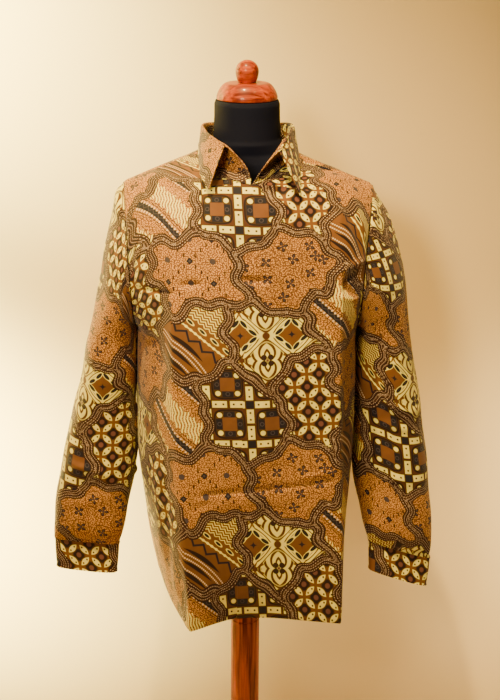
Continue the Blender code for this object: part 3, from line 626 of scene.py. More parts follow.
sleeveShape = {
    "around": 104,             # mesh cells round the sleeve
    "capRows": 44,             # rows over the sleeve head, and down the arm below it
    "belowRows": 108,
    "fullness": {-1: 0.30, 1: 1.00},    # how roundly each sleeve head leaves the shoulder
    "clearance": 0.0007,       # gap between the armhole and the sleeve
    "seamProud": 0.0016,       # and how much more the sleeve stands off where it leaves outwards
    "cut": {-1: (-0.010, 0.888), 1: (0.070, 0.851)},    # where on the cloth each was cut, in metres
}
cuffShape = {
    "rows": 16,
    "height": 0.052,
    "gap": 0.0011,             # between the sleeve's end and the cuff
    "taper": 0.0035,
    "drift": {-1: -0.0020, 1: -0.0010},
    "forward": -0.006,
    "wall": 0.0011,
    "cut": {-1: (0.050, 1.032), 1: (0.160, 1.032)},
}
sleeveLook = {
    -1: {
        "seed": 21, "waveLength": 0.12, "waveHeight": 0.0014,
        "front": (
            (-203, 1384, -200, 1330, 9, -6, 0, 0), (-222, 1331, -187, 1336, 4, 3.5, 0, 0),
            (-190, 1320, -189, 1223, 5, -6, 0, 0), (-210, 1308, -187, 1285, 3.6, -1.8, 0, 0),
            (-208, 1279, -186, 1259, 3.6, -2, 0, 0), (-212, 1246, -188, 1239, 4, 1.8, 0, 0),
            (-197, 1223, -197, 1121, 7, -3, 0, 1), (-234, 1285, -248, 1138, 16, 2.6, 0, 0),
            (-228, 1138, -244, 998, 12, -1.8, 0, 1), (-317, 908, -237, 906, 6, -3.8, 0.25, 1),
            (-254, 908, -180, 890, 6, -5.5, 0.25, 0), (-302, 887, -224, 884, 9, 2.4, 0, 0),
            (-296, 855, -258, 880, 4, -1.3, 0, 0), (-315, 823, -215, 854, 10, -1.8, 0, 2),
            (-188, 987, -188, 910, 5, -3.5, 0, 0), (-274, 987, -283, 917, 6, -1.8, 0, 0),
            (-287, 831, -288, 787, 4, -1.8, 0, 0), (-260, 827, -262, 785, 4.5, -2, 0, 0),
            (-237, 823, -240, 781, 4, -2.2, 0, 0),
        ),
        "back": (
            (-202, 1390, -200, 1345, 8, -5, 0, 0), (-236, 1290, -242, 1130, 14, 2.4, 0, 0),
            (-220, 1210, -196, 1130, 8, -3, 0, 0), (-300, 925, -225, 905, 6, -3.4, 0.25, 1),
            (-286, 958, -230, 948, 6, -2.2, 0.2, 0), (-290, 890, -225, 880, 9, 2, 0, 0),
            (-300, 850, -240, 862, 8, -1.8, 0, 0), (-284, 835, -286, 786, 4.5, -2, 0, 0),
            (-256, 832, -258, 786, 4.5, -2.2, 0, 0), (-276, 833, -277, 786, 4, 1.6, 0, 0),
        ),
    },
    1: {
        "seed": 33, "waveLength": 0.12, "waveHeight": 0.0014,
        "front": (
            (196, 1384, 195, 1287, 9, -6, 0, 0), (193, 1312, 198, 1222, 6, -8, 0, 0),
            (206, 1327, 211, 1245, 4, -2.6, 0, 0), (200, 1320, 204, 1245, 3, 1.6, 0, 0),
            (192, 1205, 192, 1116, 8, -3.4, 0, 0), (227, 1053, 211, 922, 9, -6.5, 0, 0),
            (211, 930, 208, 774, 7, -4.6, 0, 0), (176, 1019, 232, 1025, 4, -2.8, 0, 0),
            (171, 1053, 228, 1030, 4, -2.2, 0, 0), (180, 1001, 226, 1007, 4, 1.6, 0, 0),
            (214, 840, 247, 836, 3.6, -1.8, 0, 0), (243, 868, 269, 869, 3.2, -1.2, 0, 0),
            (243, 1137, 264, 978, 16, 2.6, 0, 0), (276, 996, 293, 867, 10, -1.8, 0, 0),
            (228, 1171, 240, 1067, 10, -1.6, 0, 0), (218, 790, 226, 759, 4, -2.4, 0, 0),
            (238, 790, 243, 761, 4, -2, 0, 0), (266, 790, 273, 755, 5, -1.6, 0, 0),
            (231, 1341, 248, 1318, 4, -1.6, 0, 0), (221, 1353, 237, 1341, 4, -1.4, 0, 0),
        ),
        "back": (
            (197, 1390, 198, 1330, 8, -5, 0, 0), (236, 1280, 246, 1120, 14, 2.4, 0, 0),
            (204, 1215, 214, 1120, 8, -3, 0, 0), (228, 1040, 292, 1012, 7, -3.2, 0.25, 0),
            (222, 1002, 286, 985, 7, -2.4, 0.2, 0), (232, 905, 300, 888, 8, -2, 0, 1),
            (240, 850, 296, 842, 8, -1.8, 0, 0), (284, 800, 290, 760, 4.5, -2, 0, 0),
            (256, 800, 262, 760, 4.5, -2.2, 0, 0), (270, 800, 276, 762, 4, 1.6, 0, 0),
        ),
    },
}
cuffLook = {"seed": 5, "waveLength": 0.08, "waveHeight": 0.0005}


def oval(row, side, angle):
    # points of a sleeve row: angle 0 is its outer end, a quarter turn its front
    turn, lean = np.radians(row["turn"]) * side, np.radians(row["lean"])
    power = row["square"]
    a = np.sign(np.cos(angle)) * np.abs(np.cos(angle)) ** power * row["halfW"]
    b = -np.sign(np.sin(angle)) * np.abs(np.sin(angle)) ** power * row["halfD"]
    across, deep = a * np.cos(turn) - b * np.sin(turn), a * np.sin(turn) + b * np.cos(turn)
    return np.stack([row["x"] + side * across * np.cos(lean), row["y"] + deep,
                     row["z"] - across * np.sin(lean)], -1)


def sleeveRow(side, place, angle):
    rows = sleeveRows[side]
    place, angle = np.broadcast_arrays(np.asarray(place, float), angle)
    return oval({key: through(rows[key], place) for key in rows}, side, angle)


def armhole(side, s, count):
    # evenly spaced points round the armhole: from the shoulder down the front and up the back
    half = 300
    share = np.linspace(0, 1, half + 1)
    level = allTop - share * (allTop - bodyTop)
    front, back = bodyPoint(level, s, side, "front"), bodyPoint(level, s, side, "back")
    loop = np.concatenate([front, back[-2::-1]])
    along = lengthAlong(loop)
    want = along[-1] * np.arange(count) / count
    return np.stack([np.interp(want, along, loop[:, k]) for k in range(3)], 1)


def sleevePoints(side):
    # rows of points from the armhole over the sleeve head and down the arm
    count = sleeveShape["around"]
    angle = anglesAround(count)
    loop, inner = armhole(side, 2.0, count), armhole(side, 1.97, count)
    # the cloth leaves the shoulder downwards and the underarm outwards
    outer = 0.5 + 0.5 * np.cos(angle)
    leave = unit(np.stack([side * (1 - 0.45 * outer), 0 * outer, -0.3 - 0.55 * outer], 1))
    # and stands off the body where it leaves along the body's own outward direction
    facing = unit(np.cross(np.roll(loop, -1, axis=0) - np.roll(loop, 1, axis=0), inner - loop))
    away = np.sum(facing * (loop - np.array([0.0, 0.0, 1.25])), axis=1, keepdims=True)
    facing = facing * np.where(away < 0, -1, 1)
    proud = np.maximum(0.0, np.sum(facing * leave, axis=1, keepdims=True))
    start = loop + leave * (sleeveShape["clearance"] + sleeveShape["seamProud"] * proud)
    end = sleeveRow(side, 0.0, angle)
    length = np.linalg.norm(end - loop, axis=1, keepdims=True)
    drop = unit(sleeveRow(side, 0.25, angle) - end)
    push = length * (0.30 + sleeveShape["fullness"][side] * outer[:, None])
    t = np.linspace(0, 1, sleeveShape["capRows"])[:, None, None]
    head = hermite(start[None], end[None], (leave * push)[None], (drop * length * 0.9)[None], t)
    place = np.linspace(0, len(sleeveRows[side]["z"]) - 1, sleeveShape["belowRows"] + 1)[1:, None]
    arm = sleeveRow(side, place, angle[None, :])
    return np.concatenate([head, arm])


def seamFirst(points, side):
    # the columns from the underarm seam round to itself, in the order that faces outwards
    half = points.shape[1] // 2
    rolled = np.roll(points, -half, axis=1)
    return rolled if side > 0 else np.roll(rolled[:, ::-1], 1, axis=1)


def cutFrom(corner, u, v):
    # flat coordinates moved to where the piece was cut from the cloth
    return u + corner[0], v + corner[1]


def flatRing(points):
    # flat cloth coordinates of a tube of points, cut open along its first column
    ring = np.concatenate([points, points[:, :1]], axis=1)
    u = rowLengths(ring)
    return 0.5 * u[:, -1:] - u, columnLengths(ring)


def sleeve(name, node, side, look):
    # a tube from the armhole to the cuff, with its seam under the arm
    points = seamFirst(sleevePoints(side), side)[::-1]
    u, v = flatRing(points)
    normals = gridNormals(points, closed=True)
    free = seamFree((v[-1:] - v)[:, :-1], v[:, :-1] + 0.003)
    points = creased(points, normals, u[:, :-1], v[:, :-1], sleeveLook[side], free)
    points = seamDip(points, normals, (v[-1:] - v)[:, :-1])
    points = seamDip(points, normals, v[:, :-1], dip=0.0005)
    part = gridPart(points, *cutFrom(sleeveShape["cut"][side], u, v), closed=True)
    return clothMesh(name, [part], look, shirtBody["wall"], node)


def cuff(name, node, side, look):
    # goes on from the sleeve's last oval
    rows = sleeveRows[side]
    last = {key: rows[key][-1] for key in rows}
    angle = anglesAround(sleeveShape["around"])
    share = np.linspace(0, 1, cuffShape["rows"])[:, None]
    row = dict(last, x=last["x"] + cuffShape["drift"][side] * share,
               y=last["y"] + cuffShape["forward"] * share,
               z=last["z"] - cuffShape["gap"] - cuffShape["height"] * share,
               halfW=last["halfW"] - cuffShape["taper"] * share)
    points = seamFirst(oval(row, side, angle[None, :]), side)[::-1]
    u, v = flatRing(points)
    normals = gridNormals(points, closed=True)
    points = creased(points, normals, u[:, :-1], v[:, :-1], cuffLook)
    edge = np.minimum(v, v[-1:] - v)[:, :-1]
    points = seamDip(points, normals, edge, dip=0.0008, width=0.0018, puff=0.0003)
    part = gridPart(points, *cutFrom(cuffShape["cut"][side], u, v), closed=True)
    return clothMesh(name, [part], look, cuffShape["wall"], node)


# half of the collar from the front end to the middle of the back: foot of the stand, fold, leaf's edge
collarRows = table("lowX lowY lowZ foldX foldY foldZ edgeLx edgeRx edgeY edgeLz edgeRz", (
    (0.002, -0.1200, 1.4170, 0.0400, -0.0970, 1.4660, 0.065, 0.073, -0.1180, 1.4085, 1.4005),
    (0.020, -0.1070, 1.4200, 0.0480, -0.0820, 1.4715, 0.067, 0.077, -0.1050, 1.4142, 1.4082),
    (0.040, -0.0830, 1.4270, 0.0570, -0.0600, 1.4765, 0.072, 0.080, -0.0800, 1.4224, 1.4204),
    (0.063, -0.0450, 1.4390, 0.0650, -0.0320, 1.4800, 0.076, 0.081, -0.0420, 1.4360, 1.4360),
    (0.072, -0.0060, 1.4500, 0.0695, 0.0005, 1.4815, 0.078, 0.080, 0.0020, 1.4480, 1.4480),
    (0.065, 0.0340, 1.4560, 0.0620, 0.0360, 1.4790, 0.076, 0.076, 0.0450, 1.4520, 1.4520),
    (0.040, 0.0560, 1.4560, 0.0390, 0.0560, 1.4750, 0.049, 0.049, 0.0710, 1.4520, 1.4520),
    (0.000, 0.0690, 1.4560, 0.0000, 0.0650, 1.4730, 0.000, 0.000, 0.0830, 1.4520, 1.4520),
))
collarShape = {
    "stations": 121,           # mesh columns from one front end to the middle of the back
    "shift": 0.001,            # the collar sits a hair to the right of the middle,
    "endShift": 0.008,         # its open ends more so
    "tilt": 0.004,             # and its right end lower
}


def collarLine(place, side, kind):
    # the low, fold or edge line of one half
    tag = "L" if side < 0 else "R"
    columns = "edge%sx edgeY edge%sz" % (tag, tag) if kind == "edge" else "{0}X {0}Y {0}Z".format(kind)
    spots = columnsAt(collarRows, place, columns)
    spots[..., 0] = (spots[..., 0] * side + collarShape["shift"]
                     + (collarShape["endShift"] - collarShape["shift"]) * np.maximum(0.0, 1 - place / 2))
    if kind == "fold":
        spots[..., 2] -= side * collarShape["tilt"] * np.maximum(0.0, 1 - place / 4)
    return spots


def collarLines():
    # the stand's lower edge, the fold and the leaf's edge, from the left front end to the right
    place = np.linspace(0, len(collarRows["lowX"]) - 1, collarShape["stations"])
    lines = {}
    for kind in ("low", "fold", "edge"):
        left, right = collarLine(place, -1, kind), collarLine(place[::-1], 1, kind)
        left[-1] = right[0] = 0.5 * (left[-1] + right[0])
        lines[kind] = np.concatenate([left, right[1:]])
    lines["place"] = np.concatenate([place, place[::-1][1:]])
    lines["side"] = np.concatenate([0 * place - 1, 0 * place[1:] + 1])
    return lines


collarStandShape = {
    "bulge": {-1: 0.010, 1: 0.003},    # how far each front end bows inwards
    "sink": 0.016,             # how far it falls back below its upper edge at the front
    "wall": 0.0011,
    "cut": (0.0, 1.05),        # where on the cloth it was cut, in metres
}


def collarStand(name, node, look):
    # the band that stands up from the neckline to the fold
    lines = collarLines()
    share = np.linspace(0, 1, 25)[:, None, None]
    points = lines["low"][None] * (1 - share) + lines["fold"][None] * share
    left, right = (collarStandShape["bulge"][side] for side in (-1, 1))
    bulge = np.where(lines["side"] < 0, -left, right)
    ends = np.maximum(0.0, 1 - lines["place"] / 2) * bulge
    points[..., 0] -= 4 * share[..., 0] * (1 - share[..., 0]) * ends[None]
    u, v = rowLengths(points), columnLengths(points)
    # the front ends fall back between the upper edge and the foot, over the first 12 cm
    end = np.minimum(u, u[:, -1:] - u)
    fallen = smooth(end / 0.007) * smooth((0.12 - end) / 0.05)
    fallen = fallen * smooth((v[-1:] - v) / 0.005) * smooth(v / 0.016)
    points[..., 1] += collarStandShape["sink"] * fallen
    u = u - 0.5 * u[:, -1:]
    points = seamDip(points, gridNormals(points), v, dip=0.0005)
    part = gridPart(points, *cutFrom(collarStandShape["cut"], u, v))
    return clothMesh(name, [part], look, collarStandShape["wall"], node)


collarLeafShape = {
    "foldRound": 0.0024,       # radius of the fold where it leaves the stand
    "swell": 0.0050,           # how far it stands out between fold and edge
    "wall": 0.0013,
    "cut": (-0.113, 1.052),
}


def collarLeaf(name, node, look):
    # the leaf leaves the fold above the stand, turns over and falls outside it
    lines = collarLines()
    up = unit(lines["fold"] - lines["low"])
    ahead = np.gradient(lines["low"], axis=0)
    outward = unit(np.cross(up, ahead))
    fromMiddle = lines["fold"] * np.array([1.0, 1.0, 0.0])
    outward = outward * np.sign(np.sum(outward * fromMiddle, axis=1, keepdims=True))
    radius = collarLeafShape["foldRound"]
    # half a turn over the fold, then straight down to the edge with a slight swell
    rows = []
    for a in np.linspace(0, math.pi, 9)[:-1]:
        lift = 0.0007 * (1 - a / math.pi) + 2 * radius * math.sin(a)
        rows.append(lines["fold"] + outward * radius * (1 - math.cos(a)) + up * lift)
    folded = lines["fold"] + outward * 2 * radius
    fade = np.maximum(0.0, 1 - lines["place"] / 4)[:, None]
    for fall in np.linspace(0, 1, 20):
        swell = collarLeafShape["swell"] * 4 * fall * (1 - fall) * fade
        rows.append(folded * (1 - fall) + lines["edge"] * fall + swell * np.array([0.0, -1.0, 0.4]))
    points = np.stack(rows)[::-1]
    u, v = rowLengths(points), columnLengths(points)
    edge = np.minimum(v, np.minimum(u, u[:, -1:] - u))
    u = u - 0.5 * u[:, -1:]
    normals = gridNormals(points)
    points = seamDip(points, normals, edge, dip=0.0006, width=0.0016, puff=0.0003)
    part = gridPart(points, *cutFrom(collarLeafShape["cut"], u, v))
    return clothMesh(name, [part], look, collarLeafShape["wall"], node)


# ovals of the dress form from its foot up to the top of the neck
formShape = {"sides": 96, "rows": 150}
formRows = table("z halfW halfD y", (
    (0.780, 0.110, 0.085, 0.000),
    (0.790, 0.135, 0.102, 0.000),
    (0.830, 0.152, 0.112, 0.000),
    (0.900, 0.158, 0.116, -0.002),
    (1.000, 0.148, 0.108, -0.006),
    (1.080, 0.146, 0.108, -0.012),
    (1.180, 0.158, 0.118, -0.016),
    (1.270, 0.168, 0.119, -0.016),
    (1.330, 0.177, 0.104, -0.010),
    (1.360, 0.183, 0.088, -0.007),
    (1.380, 0.187, 0.068, -0.004),
    (1.392, 0.184, 0.056, -0.002),
    (1.404, 0.168, 0.048, 0.000),
    (1.418, 0.136, 0.050, 0.000),
    (1.432, 0.097, 0.051, 0.000),
    (1.446, 0.0655, 0.0500, 0.000),
    (1.462, 0.0560, 0.0540, 0.000),
    (1.468, 0.0535, 0.0525, 0.000),
    (1.500, 0.0518, 0.0515, 0.000),
    (1.520, 0.0515, 0.0515, 0.000),
    (1.5255, 0.0495, 0.0495, 0.000),
    (1.5265, 0.0460, 0.0460, 0.000),
))


def formTorso(name, node, look):
    # a closed solid of ovals
    place = np.linspace(0, len(formRows["z"]) - 1, formShape["rows"])[:, None]
    angle = anglesAround(formShape["sides"])[None, :]
    count = range(len(formRows["z"]))
    z, y, halfW, halfD = (np.interp(place, count, formRows[key]) for key in ("z", "y", "halfW", "halfD"))
    points = np.stack([halfW * np.cos(angle), y + halfD * np.sin(angle), z + 0 * angle], -1)
    rows, sides = points.shape[:2]
    _, quads, _ = gridPart(points, np.zeros((rows, sides + 1)), np.zeros((rows, sides + 1)), closed=True)
    faces = quads.tolist() + [list(range(sides))[::-1], [(rows - 1) * sides + k for k in range(sides)]]
    return addPiece(name, smoothMesh(name, points.reshape(-1, 3).tolist(), faces, 50), look, node)


def turnedPiece(name, profile, look, node, sides=96):
    # a solid turned on the lathe from (radius, height) points, top to bottom
    ring = [[(r * math.cos(a), r * math.sin(a), z) for a in anglesAround(sides)] for r, z in profile[1:-1]]
    points = [(0.0, 0.0, profile[0][1])] + [p for row in ring for p in row] + [(0.0, 0.0, profile[-1][1])]
    last = len(points) - 1
    faces = [(0, 1 + k, 1 + (k + 1) % sides) for k in range(sides)]
    for r in range(len(ring) - 1):
        a, b = 1 + r * sides, 1 + (r + 1) * sides
        faces += [(a + k, b + k, b + (k + 1) % sides, a + (k + 1) % sides) for k in range(sides)]
    b = 1 + (len(ring) - 1) * sides
    faces += [(last, b + (k + 1) % sides, b + k) for k in range(sides)]
    return addPiece(name, smoothMesh(name, points, faces, 40), look, node)


def arc(centreR, centreZ, radiusR, radiusZ, start, end, count):
    # (radius, height) points of an arc between two angles in degrees
    angles = [math.radians(start + (end - start) * i / count) for i in range(count + 1)]
    return [(centreR + radiusR * math.cos(a), centreZ + radiusZ * math.sin(a)) for a in angles]


baseShape = {
    "radius": 0.2100,
    "height": 0.0260,
    "edge": 0.0080,            # roundness of its upper and lower edges
    "foot": 0.0020,
    "rings": (0.06, 0.14),     # radii of rings that only keep the shading even
}


def base(name, node, look):
    # a disk with a rounded upper edge
    radius, top, edge, foot = (baseShape[key] for key in ("radius", "height", "edge", "foot"))
    profile = [(r, top) for r in (0.0, *baseShape["rings"])]
    profile += arc(radius - edge, top - edge, edge, edge, 90, 0, 10)
    profile += arc(radius - foot, foot, foot, foot, 0, -90, 4)
    return turnedPiece(name, profile + [(0.0, 0.0)], look, node, sides=128)


poleShape = {
    "radius": 0.0262,
    "top": 0.7797,
    "edge": 0.0010,
    "grooveHeight": 0.5900,
    "grooveDepth": 0.0016,
    "flare": 0.0080,           # how much wider it is at its foot
    "rings": (0.68, 0.45, 0.25),    # heights of rings that only keep the shading even
    "gap": 0.0003,             # between its foot and the base
}


def pole(name, node, look):
    # a straight pole with one groove, flared at its foot
    radius, top, edge, flare = (poleShape[key] for key in ("radius", "top", "edge", "flare"))
    foot, groove = baseShape["height"] + poleShape["gap"], poleShape["grooveDepth"]
    wide = radius + flare
    high, middle, low = poleShape["rings"]
    shaft = [(0.0, top), (radius - edge, top), (radius, top - edge), (radius, high)]
    shaft += arc(radius, poleShape["grooveHeight"], groove, groove, 90, 270, 10)
    shaft += [(radius, middle), (radius, low)]
    shaft += arc(wide, foot + 4 * flare, flare, 3 * flare, 180, 270, 10)
    return turnedPiece(name, shaft + [(wide, foot + edge), (wide, foot), (0.0, foot)], look, node)


capShape = {
    "radius": 0.0480,
    "bottom": 1.5270,
    "height": 0.0250,
    "flat": 0.0150,            # radius of the flat middle of its top
    "swell": (1.9, 1.3),       # how fully its shoulder swells above and below
    "shoulder": 0.0170,        # how far its top draws in from its rim
    "rim": 0.0040,             # height of the upright rim
    "edge": 0.0012,
}


def neckCap(name, node, look):
    # a low dome with a flat top and an upright rim
    radius, bottom, height, edge = (capShape[key] for key in ("radius", "bottom", "height", "edge"))
    top = bottom + height
    slope = np.linspace(0, 1, 25)
    above, below = capShape["swell"]
    drop = 1 - (1 - slope ** above) ** (1 / below)
    shoulder = [(radius - capShape["shoulder"] * (1 - s), top - (height - capShape["rim"]) * q)
                for s, q in zip(slope.tolist(), drop.tolist())]
    rim = arc(radius - edge, bottom + edge, edge, edge, 0, -90, 5)
    profile = [(0.0, top), (capShape["flat"], top)] + shoulder + rim + [(0.0, bottom)]
    return turnedPiece(name, profile, look, node)


knobShape = {
    "radius": 0.0182,
    "height": 0.0345,
    "cut": 43.0,               # degrees below its middle where its foot cuts it off
    "gap": 0.0003,             # between it and the cap
}


def finial(name, node, look):
    # a ball whose foot is cut off flat
    bottom = capShape["bottom"] + capShape["height"] + knobShape["gap"]
    radius, half, cut = knobShape["radius"], 0.5 * knobShape["height"], knobShape["cut"]
    ball = arc(0.0, bottom + half, radius, half, 90, 0, 24)
    ball += arc(0.0, bottom + half, radius, half / math.sin(math.radians(cut)), 0, -cut, 12)[1:]
    profile = [(0.0, bottom + 2 * half)] + ball[1:] + [(ball[-1][0], bottom), (0.0, bottom)]
    return turnedPiece(name, profile, look, node)


def linear(hexColour, alpha=1.0):
    # an sRGB hex colour as linear values
    parts = [int(hexColour[i:i + 2], 16) / 255 for i in (1, 3, 5)]
    return tuple(c / 12.92 if c <= 0.04045 else ((c + 0.055) / 1.055) ** 2.4 for c in parts) + (alpha,)


def addNode(tree, kind, inputs=None, **settings):
    # adds a shader node, sets it up and links or sets its inputs
    node = tree.nodes.new("ShaderNode" + kind)
    for key, value in settings.items():
        setattr(node, key, value)
    for slot, value in (inputs or {}).items():
        if isinstance(value, bpy.types.Node):
            value = value.outputs[0]
        if isinstance(value, bpy.types.NodeSocket):
            tree.links.new(value, node.inputs[slot])
        else:
            node.inputs[slot].default_value = value
    return node


def newMaterial(name):
    # a named material, its tree and its surface shader
    material = bpy.data.materials.new(name)
    material.use_nodes = True
    return material, material.node_tree, material.node_tree.nodes["Principled BSDF"]


class Signal:
    # a number in a shader, which Python's own signs turn into Math nodes
    def __init__(self, tree, socket):
        self.tree, self.socket = tree, socket

    def __add__(self, other):
        return combine("ADD", self, other)

    def __sub__(self, other):
        return combine("SUBTRACT", self, other)

    def __rsub__(self, other):
        return combine("SUBTRACT", other, self)

    def __mul__(self, other):
        return combine("MULTIPLY", self, other)

    def __truediv__(self, other):
        return combine("DIVIDE", self, other)

    def __pow__(self, other):
        return combine("POWER", self, other)

    def __abs__(self):
        return combine("ABSOLUTE", self)


def combine(operation, *values, **settings):
    # a Math node fed by signals and plain numbers
    tree = next(value.tree for value in values if isinstance(value, Signal))
    inputs = {i: value.socket if isinstance(value, Signal) else value for i, value in enumerate(values)}
    return Signal(tree, addNode(tree, "Math", inputs, operation=operation, **settings).outputs[0])


def under(value, edge, soft=0.7):
    # 1 where the value lies under the edge, 0 above it, with a soft step between
    return combine("MULTIPLY_ADD", value, -1.0 / soft, 0.5 + edge / soft, use_clamp=True)


def least(*values):
    return values[0] if len(values) == 1 else combine("MINIMUM", values[0], least(*values[1:]))


def most(*values):
    return values[0] if len(values) == 1 else combine("MAXIMUM", values[0], most(*values[1:]))


def repeated(value, period):
    # the value measured from the middle of its own repeat
    return combine("WRAP", value, 0.5 * period, -0.5 * period)


def distance(x, y):
    return (x * x + y * y) ** 0.5


def turned(x, y, degrees):
    # place along two axes turned by an angle
    c, s = math.cos(math.radians(degrees)), math.sin(math.radians(degrees))
    return x * c + y * s, y * c - x * s


def zigzag(value, period):
    # a pointed wave between -1 and 1
    return abs(repeated(value, period)) * (4.0 / period) - 1.0


def separated(tree, vector):
    # the three numbers of a vector
    parts = addNode(tree, "SeparateXYZ", {0: vector})
    return [Signal(tree, parts.outputs[i]) for i in range(3)]


def paint(colour, mask, hexColour):
    # lays a dye colour, or another colour value, over the one below wherever the mask is 1
    over = linear(hexColour) if isinstance(hexColour, str) else hexColour
    return addNode(mask.tree, "MixRGB", {0: mask.socket, 1: colour, 2: over}).outputs[0]


# the dyes, and the painters that draw each kind of patch with them, in millimetres on the cloth
dyes = {
    "cream": "#FFF274", "straw": "#E8AA50", "olive": "#4A2F08", "soga": "#754A1E", "sogaLight": "#774B24",
    "brown": "#552F10", "bark": "#2C1005", "black": "#180803", "mauve": "#482B18", "pearl": "#E8CC9C",
    "rose": "#744634", "indigo": "#14141E", "slate": "#443A3C", "plum": "#2A1512",
}


def paintKawung(x, y, stipple):
    # four pointed ovals round each crossing, a dark lozenge with a rose spot between them
    across, upward = 19.7, 21.2
    a, b = (x / across - y / upward) * 0.5, (x / across + y / upward) * -0.5
    a0, b0, a1, b1 = repeated(a, 1.0), repeated(b, 1.0), repeated(a + 0.5, 1.0), repeated(b + 0.5, 1.0)
    middle = distance(a1, b1)
    colour = paint(linear(dyes["soga"]), under(middle, 0.37, 0.12), dyes["black"])
    petal = least(abs(b0) + a1 * a1 * 1.2, abs(a0) + b1 * b1 * 1.2)
    colour = paint(colour, under(petal, 0.205, 0.08), dyes["soga"])
    colour = paint(colour, under(petal, 0.164, 0.03), dyes["cream"])
    spots = least(distance(abs(a1) - 0.17, b0), distance(abs(b1) - 0.17, a0))
    colour = paint(colour, under(spots, 0.055, 0.04), dyes["bark"])
    return paint(colour, under(middle, 0.150, 0.05), dyes["rose"])


def paintCeplok(x, y, stipple):
    # dark-leaved stars and four-lobed flowers in cream scrollwork
    across, upward = 80.0, 82.0
    x0, y0 = abs(repeated(x, across)), abs(repeated(y, upward))
    x1, y1 = 0.5 * across - x0, 0.5 * upward - y0
    net = combine("COSINE", x * (2 * math.pi / across)) - combine("COSINE", y * (2 * math.pi / upward))
    fingers = combine("SINE", combine("ARCTAN2", x0, y1) * 8.0 + distance(x0, y1) * 0.45)
    scrolls = under(0.35 - fingers, 0.0, 0.5) * under(0.3 - net, 0.0, 0.2)
    colour = paint(linear(dyes["cream"]), scrolls, dyes["brown"])
    rays = combine("SINE", combine("ARCTAN2", x1, y1) * 8.0)
    flower = distance(x1, y1)
    colour = paint(colour, under(flower, 17.0, 1.5) * under(0.1 - rays, 0.0, 0.5), dyes["soga"])
    colour = paint(colour, under(flower, 4.5, 1.0), dyes["brown"])
    lines = least(abs(abs(net + 0.12) - 0.27), abs(net + 0.85))
    colour = paint(colour, under(lines, 0.085, 0.08), dyes["brown"])
    colour = paint(colour, under(distance(x0, y0), 6.0, 1.2), dyes["brown"])
    colour = paint(colour, under(distance(x0 - 5.2, y1 - 5.2), 4.7, 0.8), dyes["plum"])
    colour = paint(colour, under(distance(x0, y1), 2.2, 0.8), dyes["rose"])
    a, b = most(x1, y0), least(x1, y0)
    edge = (a - 27.0) * 0.625 + b * 0.78
    along = (a - 27.0) * -0.78 + b * 0.625 - 9.8
    colour = paint(colour, under(edge, 3.6, 0.8), dyes["cream"])
    colour = paint(colour, under(edge, -2.4, 0.8), dyes["soga"])
    leaf = distance(edge / 2.9, along / 7.6)
    colour = paint(colour, under(leaf, 1.32, 0.2), dyes["cream"])
    colour = paint(colour, under(leaf, 1.0, 0.2), dyes["indigo"])
    return paint(colour, under(a ** 0.5 + b ** 0.5, 2.8, 0.25), dyes["indigo"])


def paintFrames(x, y, stipple):
    # beaded bars crossing at indigo squares, with a rounded frame of four blocks and pearls in each cell
    pitch = 67.0
    fx, fy = abs(repeated(x, pitch)), abs(repeated(y, pitch))
    bx, by = 0.5 * pitch - fx, 0.5 * pitch - fy
    high, low = most(fx, fy), least(fx, fy)
    bars = least(most(bx - 5.6, abs(fy - 14.0) - 11.6), most(by - 5.6, abs(fx - 14.0) - 11.6))
    colour = paint(linear(dyes["brown"]), under(bars, 1.6, 1.0), dyes["olive"])
    colour = paint(colour, under(bars, 0.0, 0.7), dyes["cream"])
    beads = least(distance(bx, abs(fy - 14.0) - 5.8), distance(by, abs(fx - 14.0) - 5.8))
    colour = paint(colour, under(beads, 1.7, 0.8), dyes["bark"])
    colour = paint(colour, under(most(bx, by), 5.9, 0.7), dyes["indigo"])
    rounded = (fx ** 4.0 + fy ** 4.0) ** 0.25
    colour = paint(colour, under(rounded, 25.0, 0.8), dyes["black"])
    colour = paint(colour, under(rounded, 22.3, 0.8), dyes["olive"])
    colour = paint(colour, under(most(abs(high - 16.5) - 5.0, low - 8.6), 0.0, 0.8), dyes["indigo"])
    colour = paint(colour, under(abs(distance(low, high - 16.0) - 3.0), 0.7, 0.8), dyes["slate"])
    colour = paint(colour, under(distance(fx - 15.2, fy - 15.2), 4.3, 1.0), dyes["cream"])
    return paint(colour, under(high, 11.3, 0.7), dyes["sogaLight"])


def paintLozenges(x, y, stipple):
    # a lattice of short dark dashes with blue-grey lozenges at its corners and round spots in its cells
    cell, step = 72.0, 9.0
    colour = paint(linear(dyes["sogaLight"]), stipple, dyes["straw"])
    s, t = x + y, x - y
    s1, t1 = repeated(s + 0.5 * cell, cell), repeated(t + 0.5 * cell, cell)
    dx, dy = repeated(x, step), repeated(y, step)
    onLine = under(least(abs(s1 - dx - dy), abs(t1 - dx + dy)), 1.0, 0.4)
    colour = paint(colour, onLine * under(abs(dx), 1.2) * under(abs(dy), 3.2), dyes["bark"])
    colour = paint(colour, under(most(abs(s1), abs(t1)), 6.0), dyes["indigo"])
    colour = paint(colour, under(most(abs(s1), abs(t1)), 2.4), dyes["slate"])
    s0, t0 = repeated(s, cell), repeated(t, cell)
    return paint(colour, under(distance(s0, t0), 7.0, 0.9), dyes["slate"])


